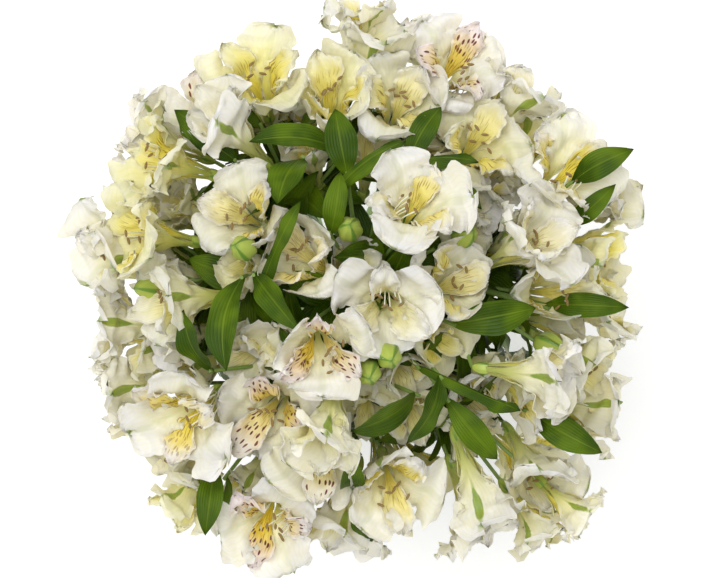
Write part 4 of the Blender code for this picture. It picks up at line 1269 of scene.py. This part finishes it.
def tepal_midline(length, opening, curl):
    """Distances out from the axis and up along it, from base to tip."""
    along = np.linspace(0.0, 1.0, MIDLINE_STEPS)
    lean = STRAIGHT + (opening - STRAIGHT) * along**1.4 + curl * ramp(along, CURL_FROM, 1 - CURL_FROM) ** 2
    step = length / (len(along) - 1)
    out = np.concatenate([[0.0], np.cumsum(0.5 * (np.sin(lean[1:]) + np.sin(lean[:-1])) * step)])
    up = np.concatenate([[0.0], np.cumsum(0.5 * (np.cos(lean[1:]) + np.cos(lean[:-1])) * step)])
    return along, out, up


def outline(along, fullness, bluntness):
    """Half width along a blade, as a share of its widest."""
    widest = fullness / (fullness + bluntness)
    most = widest**fullness * (1 - widest) ** bluntness
    return along**fullness * np.maximum(1 - along, 0.0) ** bluntness / most


ends = [distances[-1] for distances in tepal_midline(TEPAL_LENGTH, math.radians(60), 0.0)[1:]]
print("an open tepal reaches, in mm, out and up:", [round(1000 * end) for end in ends])

# %% [markdown]
# A straight outline and a smooth surface look cut from paper. So the edge wanders a little, and three sizes
# of wave lift the surface: broad ones that grow towards the edge, a fine frill on the very edge, and shallow
# creases all over. They are in the mesh, because they change the outline and catch the light.

# %% Edges and ruffles
FULLNESS = 2.7
WIDTH_VARIES = (0.86, 1.08)
LEAST_SHAPE = 0.02
CLAW_WIDTH = 0.0022
# Waves along a tepal's edge, their strength, and how far the draw and the side shift them.
EDGE_WAVES = ((2.6, 0.07, 1, 2), (8.0, 0.035, 3, 3))
# Waves along its surface and their strength: broad ruffles and creases.
BROAD_WAVES = ((2.2, 0.50), (4.3, 0.42), (7.4, 0.22))
CREASES = ((2.1, 0.0011), (3.4, 0.0008), (5.6, 0.0005))
FRILL = 0.0016
FRILL_WAVES = (6.5, 9.0)
FRILL_SLANT = 2.3


def tepal_side(kind, along, across, chance):
    """How far each point lies from the tepal's middle line, flat."""
    shape = outline(along, FULLNESS, kind.bluntness)
    start = chance.uniform(0, 6)
    for waves, strength, by_draw, by_side in EDGE_WAVES:
        swing = np.sin(2 * math.pi * waves * along + by_draw * start + by_side * (across > 0))
        shape = shape * (1 + strength * swing)
    width = kind.width * chance.uniform(*WIDTH_VARIES)
    return 0.5 * (width * np.maximum(shape, LEAST_SHAPE) + CLAW_WIDTH * (1 - along)) * across


def ruffled(kind, along, across, folded, chance):
    """How far each point of a folded tepal is lifted off its middle surface."""
    edge = ramp(along, 0.25, 0.5) * np.abs(across) ** 1.7
    wave = 0.0
    for waves, strength in BROAD_WAVES:
        start = chance.uniform(0, 2 * math.pi) + chance.uniform(0, 2 * math.pi) * (across > 0)
        wave = wave + strength * np.sin(2 * math.pi * waves * along + start)
    frill = ramp(along, 0.30, 0.3) * np.abs(across) ** 4 + ramp(along, 0.88, 0.12)
    start = chance.uniform(0, 6)
    ripple = np.sin(2 * math.pi * (chance.uniform(*FRILL_WAVES) * along + FRILL_SLANT * across) + start)
    crumple = 0.0
    for waves, strength in CREASES:
        turned, start = chance.uniform(-1.2, 1.2), chance.uniform(0, 6)
        crumple = crumple + strength * np.sin(2 * math.pi * waves * (along + turned * 0.35 * across) + start)
    crumple = crumple * ramp(along, 0.25, 0.3)
    lift = kind.ruffle * edge * wave + FRILL * np.minimum(frill, 1) * ripple
    return lift + folded + crumple


print("waves in each half of a tepal:", len(EDGE_WAVES) + len(BROAD_WAVES) + len(CREASES) + 1)

# %% [markdown]
# A flat tepal is then wrapped round the funnel, which is wider the further up it goes, and set at its angle
# round the bloom's axis. The upper side of a bloom matters, because its two gold petals are there.

# %% A tepal round its bloom
LENGTH_VARIES = (0.92, 1.04)
SHUT_ANGLE = 26  # degrees between a shut bloom's tepals and its axis
OPEN_ANGLE = 68  # and how many more when it is wide open
OPENING_VARIES = (-14, 12)
CURL = (-25, 60)
TEPAL_TWIST = (-32, 32)
CHANNEL = (-0.10, 0.42)
SWAY = (-0.06, 0.06)
FIRST_TEPAL = 90
TEPALS_APART = 60
PLACE_VARIES = (-5, 5)
ROLL = 0.6
LOOKS_UP = 0.35  # a bloom that leans less than this has no upper side of its own


def bloom_frame(bloom):
    """A bloom's axis, the way its upper side faces, and the way its right side faces."""
    axis = bloom.axis()
    number = bloom.piece[1] + 1
    upward = Vector((0.0, 0.0, 1.0)) - axis * axis.z
    roll = random.Random(bloom.piece[1]).uniform(-ROLL, ROLL)
    if number in UPPER_SIDES:
        upward = polar(math.pi / 2, math.radians(UPPER_SIDES[number]))
        roll = 0.0
    elif upward.length < LOOKS_UP:
        upward = Vector((math.cos(9 * roll), math.sin(9 * roll), 0.0))
    over = (upward - axis * upward.dot(axis)).normalized()
    beside = over.cross(axis)
    turn = Matrix.Rotation(roll, 3, axis)
    return np.array(axis), np.array(turn @ over), np.array(turn @ beside)


def set_round(bloom, azimuth, radial, sideways, height):
    """Places from the bloom's foot, for points some way out, aside and up at an angle round its axis."""
    axis, over, beside = bloom_frame(bloom)
    away = beside * math.cos(azimuth) + over * math.sin(azimuth)
    round_about = over * math.cos(azimuth) - beside * math.sin(azimuth)
    return radial[:, None] * away + sideways[:, None] * round_about + height[:, None] * axis


def tepal_points(bloom, k, openness, size, grid, chance):
    """The middle surface of tepal k. Even tepals are outer, broad ones."""
    kind = INNER if k % 2 else OUTER
    even = np.linspace(0.0, 1.0, grid[0])
    along, across = over_grid(0.45 * even + 0.55 * np.sin(even * math.pi / 2), grid[1])
    angle = SHUT_ANGLE + OPEN_ANGLE * openness - kind.upright + chance.uniform(*OPENING_VARIES)
    curl = math.radians(chance.uniform(*CURL)) * (0.4 + 0.6 * openness)
    length = TEPAL_LENGTH * kind.length * chance.uniform(*LENGTH_VARIES)
    steps, out, up = tepal_midline(length, math.radians(angle), curl)
    radius = np.interp(along, steps, out) + CUP_RADIUS
    height = np.interp(along, steps, up)
    side = tepal_side(kind, along, across, chance)
    twist = math.radians(chance.uniform(*TEPAL_TWIST)) * along**2
    channel = chance.uniform(*CHANNEL) * ramp(along, 0.15, 0.5) * np.abs(side)
    folded = side * np.sin(twist) - channel
    side = side * np.cos(twist) + chance.uniform(*SWAY) * length * along**2
    wrap = radius * (1 + kind.unwrap * along)
    turn = side / wrap
    radial = radius - wrap * (1 - np.cos(turn))
    ruffle = ruffled(kind, along, across, folded, chance)
    lean = np.interp(along, steps, np.arctan2(np.gradient(out), np.gradient(up)))
    azimuth = math.radians(FIRST_TEPAL + TEPALS_APART * k + chance.uniform(*PLACE_VARIES))
    radial = radial + ruffle * np.cos(lean)
    height = height - ruffle * np.sin(lean)
    points = set_round(bloom, azimuth, radial, wrap * np.sin(turn), height)
    return np.array(bloom.root) + size * points, along, across


print("upper sides read off the picture:", len(UPPER_SIDES))

# %% [markdown]
# Each tepal is bent back from the walls round its bloom. The inner ones are then drawn in towards the axis,
# so that they don't cut through the outer ones. A tepal is thick at its base and thin at its edges.

# %% Add a tepal to a bloom's skin
UPPER_INNER = {1: 1.0, 5: 1.0, 3: 0.6}  # how much gold the three inner tepals take
INNER_SHARE = 0.84
PETAL_THICKNESS = 0.00050
EDGE_THINNER = 0.00032
BASE_THICKER = 0.0004
SEEDS = (0, 9)


def add_tepal(skin, bloom, k, looks, size, grid, chance):
    """One tepal. The looks are how open, lemon, golden and dashed the bloom is."""
    openness, lemon, gold, dashes = looks
    points, along, across = tepal_points(bloom, k, openness, size, grid, chance)
    points = bent_clear(points, bloom, PETAL_GIVE * size)
    if k % 2:
        root, axis = np.array(bloom.root), np.array(bloom.axis())
        feet = root + ((points - root) @ axis)[:, None] * axis
        points = feet + (points - feet) * INNER_SHARE
    thickness = PETAL_THICKNESS - EDGE_THINNER * np.abs(across) + BASE_THICKER * (1 - along)
    both, faces = sheet_shell(points, *grid, thickness)
    skin.shell(
        both, faces, petal, along=np.tile(along, 2), across=np.tile(across, 2),
        outside=np.repeat([1.0, 0.0], len(along)), inner=UPPER_INNER.get(k, 0.0),
        lemon=lemon, gold=gold, dashes=dashes, seed=chance.uniform(*SEEDS),
    )


print("inner tepals with gold:", sorted(UPPER_INNER))

# %% [markdown]
# ## Stamens
# Six thin stamens bow down along the lower side of the funnel and lift at their ends. Each carries an oval
# olive anther. They are too fine for the solids and are part of the looks.

# %% Add the stamens
STAMENS = 6
STAMEN_LENGTH = 0.040
LENGTH_SHARE = (0.66, 1.0)
FILAMENT_RADIUS = 0.00035
FILAMENT_STEPS = 7
SAG = 0.010
STAMEN_FOOT = 0.0012
STAMEN_SPREAD = 0.0055
ANTHER_SIZE = (0.0044, 0.0016)


def oval(middle, direction, length, width, sides=8, rings=7):
    """The shell of an oval body along a direction."""
    shares = np.linspace(0.02, 0.98, rings)
    points = [middle + direction * length * (share - 0.5) for share in shares]
    radii = [0.5 * width * 2 * math.sqrt(share * (1 - share)) for share in shares]
    return tube_shell(points, radii, sides)


def add_stamens(skin, i, chance):
    bloom, openness = blooms[i], BLOOMS[i][2]
    axis, over, beside = (Vector(part) for part in bloom_frame(bloom))
    middle = (STAMENS - 1) / 2
    for n in range(STAMENS):
        turned = beside * (n - middle) / middle + over * chance.uniform(-0.5, 0.5)
        reach = STAMEN_LENGTH * chance.uniform(*LENGTH_SHARE)
        path = []
        for share in np.linspace(0.0, 1.0, FILAMENT_STEPS):
            sag = SAG * openness * math.sin(share * 2.6)
            out = STAMEN_FOOT + STAMEN_SPREAD * share * (0.3 + openness)
            path.append(bloom.root + axis * reach * share - over * sag + turned * out)
        corners, faces, along, around = tube_shell(path, [FILAMENT_RADIUS] * len(path), 6)
        skin.shell(corners, faces, filament, along=along, across=around)
        tilt = (path[-1] - path[-2]).normalized().cross(over + beside * chance.uniform(-1, 1)).normalized()
        corners, faces, along, around = oval(path[-1], tilt, *ANTHER_SIZE)
        skin.shell(corners, faces, anther, along=along, across=around)


print("stamens in an open bloom:", STAMENS)

# %% [markdown]
# ## Forty-nine blooms and the smaller flowers
# Each bloom is one piece that stands for the bloom's solid. The smaller flowers between them have no solid
# and are coarser, since little of them shows. A seeded chance for each makes it the same on each run.

# %% Make the blooms
BLOOM_SEED = 100
SECOND_SEED = 300
SHOWS_STAMENS = 0.4  # a bloom less open than this hides them
TEPAL_GRID = (32, 13)
SECOND_GRID = (18, 9)
# A smaller flower's ranges of openness, lemon, gold and size.
SECOND_OPENNESS = (0.45, 0.90)
SECOND_LEMON = (0.0, 0.9)
SECOND_GOLD = (0.4, 1.0)
SECOND_SIZE = (0.70, 0.80)


def make_bloom(i):
    chance = random.Random(BLOOM_SEED + i)
    skin = Skin([petal, filament, anther])
    looks = (BLOOMS[i][2], *BLOOMS[i][6:])
    for k in range(6):
        add_tepal(skin, blooms[i], k, looks, 1.0, TEPAL_GRID, chance)
    if BLOOMS[i][2] > SHOWS_STAMENS:
        add_stamens(skin, i, chance)
    piece = skin.piece(f"bloom_{i + 1:02d}_petals")
    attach(piece, "root")
    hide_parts(f"bloom_{i + 1:02d}")
    return piece


def make_second_flower(n):
    """A younger flower: smaller, half closed, white to lemon, and without stamens that show."""
    chance = random.Random(SECOND_SEED + n)
    skin = Skin([petal])
    ranges = (SECOND_OPENNESS, SECOND_LEMON, SECOND_GOLD)
    looks = (*(chance.uniform(*span) for span in ranges), 0.0)
    for k in range(6):
        add_tepal(skin, second_flowers[n], k, looks, chance.uniform(*SECOND_SIZE), SECOND_GRID, chance)
    piece = skin.piece(f"second_flower_{n + 1:02d}")
    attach(piece, "root")
    return piece


def triangles(pieces):
    return sum(len(face.vertices) - 2 for piece in pieces for face in piece.data.polygons)


flowers = [make_bloom(i) for i in range(len(BLOOMS))]
flowers += [make_second_flower(n) for n in range(len(second_flowers))]
print("triangles in all blooms:", triangles(flowers))

# %% [markdown]
# ## Leaves
# An alstroemeria leaf is lance-shaped with a fine tip. It arches, folds a little along its middle, waves at
# its edges and often twists. The front is the darker, glossier side.

# %% Leaf surface
LEAF_ROWS = 16
LEAF_COLUMNS = 7
LEAF_ARCH = 0.10
LOW_LEAF_ARCH = 0.08
LOW_LEAF_WIDTH = 0.018
LEAF_TWIST = (-25, 25)
LEAF_FOOT = 0.0012
LEAF_TIP_WIDTH = 0.0003
LEAF_WAVE = 0.0012
LEAF_WAVES = (1.5, 3.0)
LEAF_SWAY = 0.05
LEAF_FOLD = 0.30
LEAF_DROOP = 0.08
LEAF_THICKNESS = 0.00045
LEAF_EDGE_THINNER = 0.00025
LEAF_BASE_THICKER = 0.0006


def leaf_frame(leaf, behind):
    """A leaf's root, length and three directions: along it, aside, and out of its front."""
    root = np.array(leaf.root)
    line = np.array(leaf.tip) - root
    length = np.linalg.norm(line)
    axis = line / length
    out = np.array(leaf.root - behind)
    face = out - axis * (out @ axis)
    face /= np.linalg.norm(face)
    return root, length, axis, np.cross(axis, face), face


def front_comes_first(points, face):
    """Whether a leaf's grid of points turns its first shell to the front."""
    grid = points.reshape(LEAF_ROWS, LEAF_COLUMNS, 3)
    row, column = LEAF_ROWS // 2, LEAF_COLUMNS // 2
    normal = np.cross(grid[row, -1] - grid[row, 0], grid[row + 1, column] - grid[row - 1, column])
    return normal @ face > 0


def add_leaf(skin, leaf, width, arch, chance, behind=HEAD_CENTRE):
    """One leaf, whose front looks away from the point behind it."""
    root, length, axis, beside, face = leaf_frame(leaf, behind)
    along, across = over_grid(np.linspace(0.0, 1.0, LEAF_ROWS), LEAF_COLUMNS)
    twist = math.radians(chance.uniform(*LEAF_TWIST)) * along
    half = 0.5 * (width * outline(along, 1.0, 0.9) + LEAF_FOOT * (1 - along) + LEAF_TIP_WIDTH) * across
    waves = 2 * math.pi * chance.uniform(*LEAF_WAVES) * along + chance.uniform(0, 6)
    wave = LEAF_WAVE * across**2 * np.sin(waves)
    sway = LEAF_SWAY * length * chance.uniform(-1, 1) * np.sin(math.pi * along)
    lift = arch * length * np.sin(math.pi * along) + LEAF_FOLD * np.abs(half)
    lift = lift - LEAF_DROOP * length * along**3 + wave
    side = half * np.cos(twist) + sway
    lift = lift + half * np.sin(twist)
    points = root + (along * length)[:, None] * axis + side[:, None] * beside + lift[:, None] * face
    points = bent_clear(points, leaf, LEAF_GIVE)
    thickness = LEAF_THICKNESS - LEAF_EDGE_THINNER * np.abs(across)
    thickness = thickness + LEAF_BASE_THICKER * (1 - along) * (1 - np.abs(across))
    both, faces = sheet_shell(points, LEAF_ROWS, LEAF_COLUMNS, thickness)
    sides = [0.0, 1.0] if front_comes_first(points, face) else [1.0, 0.0]
    outside = np.repeat(sides, len(along))
    skin.shell(both, faces, leaf_green, outside=outside, along=np.tile(along, 2), across=np.tile(across, 2))


print("corners in a leaf:", 2 * LEAF_ROWS * LEAF_COLUMNS)

# %% [markdown]
# ## Stems, rays, ovaries and buds
# These are tubes with a changing radius. The ovary under each bloom has six ribs, and a bud is the same idea
# grown fat: six folded tepals, widest near the stalk and pointed at the tip.

# %% Stem parts
RAY_RADIUS = 0.0011
RAY_TINT = 0.4
RAY_SIDES = 8
OVARY_RADIUS = 0.0034
OVARY_SEAT = 0.001  # how far the ovary goes into the cup
OVARY_PALE = 0.5  # an ovary takes the bud's colours no further along than this
BUD_WIDTH = 0.0125
BUD_FOOT = 0.0006
BUD_TWIST = 0.04


def smooth_path(points, steps):
    """A rounder line through some points."""
    points = [Vector(point) for point in points]
    padded = [points[0] * 2 - points[1], *points, points[-1] * 2 - points[-2]]
    made = []
    for a, b, c, d in zip(padded, padded[1:], padded[2:], padded[3:]):
        bend = 2 * a - 5 * b + 4 * c - d
        turn = 3 * b - a - 3 * c + d
        for step in range(steps):
            t = step / steps
            made.append(0.5 * (2 * b + (c - a) * t + bend * t * t + turn * t**3))
    return made + [points[-1]]


def add_tube(skin, path, radii, sides, material, **numbers):
    corners, faces, along, around = tube_shell(path, radii, sides)
    skin.shell(corners, faces, material, along=along, across=around, **numbers)


def add_ray(skin, hub, bloom):
    axis = bloom.axis()
    neck = bloom.root - axis * OVARY_LENGTH
    path = smooth_path([hub, hub.lerp(neck, 0.5), neck], 4)
    add_tube(skin, path, [RAY_RADIUS] * len(path), RAY_SIDES, stem_green, tint=RAY_TINT)
    shares = np.linspace(0.0, 1.0, 9)
    places = [neck + axis * (OVARY_LENGTH + OVARY_SEAT) * share for share in shares]
    radii = [RAY_RADIUS + (OVARY_RADIUS - RAY_RADIUS) * math.sin(share * 2.2) ** 0.8 for share in shares]
    corners, faces, along, around = tube_shell(places, radii, 24, RIBS, 0.08)
    skin.shell(corners, faces, bud_green, along=along * OVARY_PALE, across=around)


def add_bud(skin, bud):
    axis = bud.axis()
    shares = np.linspace(0.0, 1.0, 14)
    places = [bud.root + axis * BUD_LENGTH * share for share in shares]
    radii = [BUD_FOOT + 0.5 * BUD_WIDTH * math.sin(math.pi * share**0.75) ** 0.75 for share in shares]
    corners, faces, along, around = tube_shell(places, radii, 36, RIBS, 0.07, BUD_TWIST)
    skin.shell(corners, faces, bud_green, along=along, across=around)


print("ribs on an ovary or a bud:", RIBS)

# %% [markdown]
# ## Ten green pieces
# A stem's piece holds all that is green on it: the stem itself, cut level at the floor, its rays with their
# ovaries, its leaves, the stalks and the buds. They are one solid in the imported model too. Most leaves face
# away from the head's middle, and one that lies on the rim faces up.

# %% Make the stems
STEM_SEED = 500
STEM_SIDES = 14
STEM_STEPS = 10
STEM_TAPER = 0.15
CUT_ABOVE = 0.001
LEAF_WIDER = 0.00108  # metres of a dressed leaf's width for each millimetre in the table
STALK_SEAT = 0.003  # how far a stalk goes into its leaf or bud
BEHIND_RIM = 0.6  # a rim leaf faces away from a point on the floor, this share of the way out to it


def add_stem(skin, k):
    """The stem, cut level where it meets the floor."""
    path = smooth_path(paths[k], STEM_STEPS)
    above = [place for place in path if place.z > CUT_ABOVE]
    below = path[len(path) - len(above) - 1]
    foot = below.lerp(above[0], -below.z / (above[0].z - below.z))
    path = [foot, *above]
    radii = [STEM_RADIUS * (1 - STEM_TAPER * i / len(path)) for i in range(len(path))]
    corners, faces, along, around = tube_shell(path, radii, STEM_SIDES)
    corners[:, 2] = np.maximum(corners[:, 2], 0.0)
    skin.shell(corners, faces, stem_green, along=along, across=around)


def add_own_leaves(skin, k, chance):
    for leaf, row in zip(leaves, LEAVES):
        if leaf.piece[1] == k:
            add_leaf(skin, leaf, row[4] * LEAF_WIDER, LEAF_ARCH, chance)
    for leaf, row in zip(rim_leaves, RIM_LEAVES):
        if leaf.piece[1] == k:
            behind = Vector((BEHIND_RIM * leaf.root.x, BEHIND_RIM * leaf.root.y, 0.0))
            add_leaf(skin, leaf, row[4] * LEAF_WIDER, LEAF_ARCH, chance, behind)
    for leaf in low_leaves + crowd_leaves:
        if leaf.piece[1] == k:
            add_leaf(skin, leaf, LOW_LEAF_WIDTH, LOW_LEAF_ARCH, chance)


def make_stem(k):
    chance = random.Random(STEM_SEED + k)
    skin = Skin([stem_green, leaf_green, bud_green])
    add_stem(skin, k)
    for bloom, own in zip(blooms + second_flowers, stem_of_bloom + second_stems):
        if own == k:
            add_ray(skin, hubs[k], bloom)
    add_own_leaves(skin, k, chance)
    for stalk in stalks + rim_stalks:
        if stalk.piece[1] == k:
            line = [stalk.root, stalk.tip + stalk.axis() * STALK_SEAT]
            add_tube(skin, line, [RAY_RADIUS] * 2, RAY_SIDES, stem_green, tint=RAY_TINT)
    for bud in buds:
        if bud.piece[1] == k:
            add_bud(skin, bud)
    piece = skin.piece(f"stem_{k + 1:02d}_green")
    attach(piece, "root")
    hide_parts(f"stem_{k + 1:02d}")
    return piece


greens = [make_stem(k) for k in range(len(paths))]
print("triangles in all stems:", triangles(greens))

# %% [markdown]
# ## The twine
# Three turns of two-ply twine hold the waist, with a knot in front and two short ends. Two thin strands are
# wound round the same line half a turn apart, so the twist is in the shape and not painted on.

# %% Two strands
TWINE_RADIUS = 0.0011
PLY_TURN = 0.0042  # the length of one twist
PLY_PLACE = 0.48  # a strand's distance from the twine's middle, in twine radii
PLY_RADIUS = 0.56
PLY_SIDES = 7


def add_twine(skin, path):
    """Two strands wound round a path."""
    path = [Vector(point) for point in path]
    normal = (path[1] - path[0]).orthogonal().normalized()
    strands = [[], []]
    gone = 0.0
    for i, point in enumerate(path):
        forward = (path[min(i + 1, len(path) - 1)] - path[max(i - 1, 0)]).normalized()
        normal = (normal - forward * normal.dot(forward)).normalized()
        other = forward.cross(normal)
        gone += (point - path[max(i - 1, 0)]).length
        for ply in range(2):
            angle = 2 * math.pi * gone / PLY_TURN + math.pi * ply
            away = normal * math.cos(angle) + other * math.sin(angle)
            strands[ply].append(point + away * TWINE_RADIUS * PLY_PLACE)
    for strand in strands:
        add_tube(skin, strand, [TWINE_RADIUS * PLY_RADIUS] * len(strand), PLY_SIDES, twine)


print("twists in a metre of twine:", round(1 / PLY_TURN))

# %% [markdown]
# The turns, the knot and the two ends are four lines for the same two strands. The knot is a small curve that
# crosses itself in front of the turns, and the ends hang down from behind it.

# %% Make the tie
TIE_INNER_RADIUS = 0.0120
TIE_TURNS = 3
STEPS_ROUND = 110
SNUG = 0.9  # how close the turns lie, in twine widths
KNOT_SIZE = (0.0024, 0.0026)
KNOT_PLACE = 3.0  # twine radii in front of the waist
KNOT_STEPS = 91
KNOT_STEPS_ROUND = 60
END_PLACE = 2.6
END_LENGTHS = {-1: 0.024, 1: 0.030}  # one end to the left and one to the right


def ring_path():
    steps = STEPS_ROUND * TIE_TURNS
    path = []
    for i in range(steps + 1):
        around = 2 * math.pi * i / STEPS_ROUND
        rise = (i / steps - 0.5) * 2 * TWINE_RADIUS * TIE_TURNS * SNUG
        middle = TIE_INNER_RADIUS + TWINE_RADIUS
        path.append((middle * math.sin(around), -middle * math.cos(around), TIE_HEIGHT + rise))
    return path


def knot_path():
    """A small overhand loop over the front of the turns."""
    path = []
    for i in range(KNOT_STEPS):
        t = 2 * math.pi * i / KNOT_STEPS_ROUND
        x = KNOT_SIZE[0] * (math.sin(t) + 0.4 * math.sin(2 * t))
        z = KNOT_SIZE[1] * (math.cos(t) - 0.4 * math.cos(2 * t))
        out = -TIE_INNER_RADIUS - TWINE_RADIUS * (KNOT_PLACE + 0.8 * math.sin(3 * t))
        path.append((x, out, TIE_HEIGHT + z))
    return path


def end_path(side, length):
    front = -TIE_INNER_RADIUS - END_PLACE * TWINE_RADIUS
    points = [
        (0.0, front, TIE_HEIGHT),
        (side * 0.005, front - 0.003, TIE_HEIGHT - 0.004),
        (side * 0.010, front - 0.004, TIE_HEIGHT - 0.5 * length),
        (side * 0.009, front - 0.002, TIE_HEIGHT - length),
    ]
    return smooth_path(points, 24)


tie_skin = Skin([twine])
for line in (ring_path(), knot_path(), *(end_path(*end) for end in END_LENGTHS.items())):
    add_twine(tie_skin, line)
tie = tie_skin.piece("twine_with_knot")
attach(tie, "root")
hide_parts("twine_tie")
print("triangles in the tie:", triangles([tie]))

# %% [markdown]
# ## Floor and light
# The picture has a pure white ground and soft light with hardly a shadow. A wide pale floor that glows a
# little, a white world and one soft sun, nearly overhead, give that. The sun's wide angle blurs its shadows.

# %% Floor and light
FLOOR_REACH = 4
FLOOR_GLOW = 0.2
WORLD_LIGHT = 0.62
SUN_LIGHT = 2.0
SUN_ANGLE = 50
SUN_TILT = (-10, -12)

floor_mesh = bpy.data.meshes.new("floor")
floor_corners = [(x * FLOOR_REACH, y * FLOOR_REACH, 0) for x, y in ((-1, -1), (1, -1), (1, 1), (-1, 1))]
floor_mesh.from_pydata(floor_corners, [], [(0, 1, 2, 3)])
floor = bpy.data.objects.new("floor", floor_mesh)
bpy.context.scene.collection.objects.link(floor)
floor_paint = Paint("floor")
floor.data.materials.append(floor_paint.finish(
    (0.98, 0.98, 0.98), 0.9, Emission_Color=(1.0, 1.0, 1.0, 1.0), Emission_Strength=FLOOR_GLOW
))

world = bpy.data.worlds.new("studio")
bpy.context.scene.world = world
world.use_nodes = True
world.node_tree.nodes["Background"].inputs[0].default_value = (1.0, 1.0, 1.0, 1.0)
world.node_tree.nodes["Background"].inputs[1].default_value = WORLD_LIGHT
bpy.context.scene.view_settings.view_transform = "Standard"

sun = bpy.data.objects.new("key", bpy.data.lights.new("key", "SUN"))
sun.data.energy = SUN_LIGHT
sun.data.angle = math.radians(SUN_ANGLE)
sun.rotation_euler = (math.radians(SUN_TILT[0]), math.radians(SUN_TILT[1]), 0.0)
bpy.context.scene.collection.objects.link(sun)
print("light from the sun and the world:", SUN_LIGHT, WORLD_LIGHT)
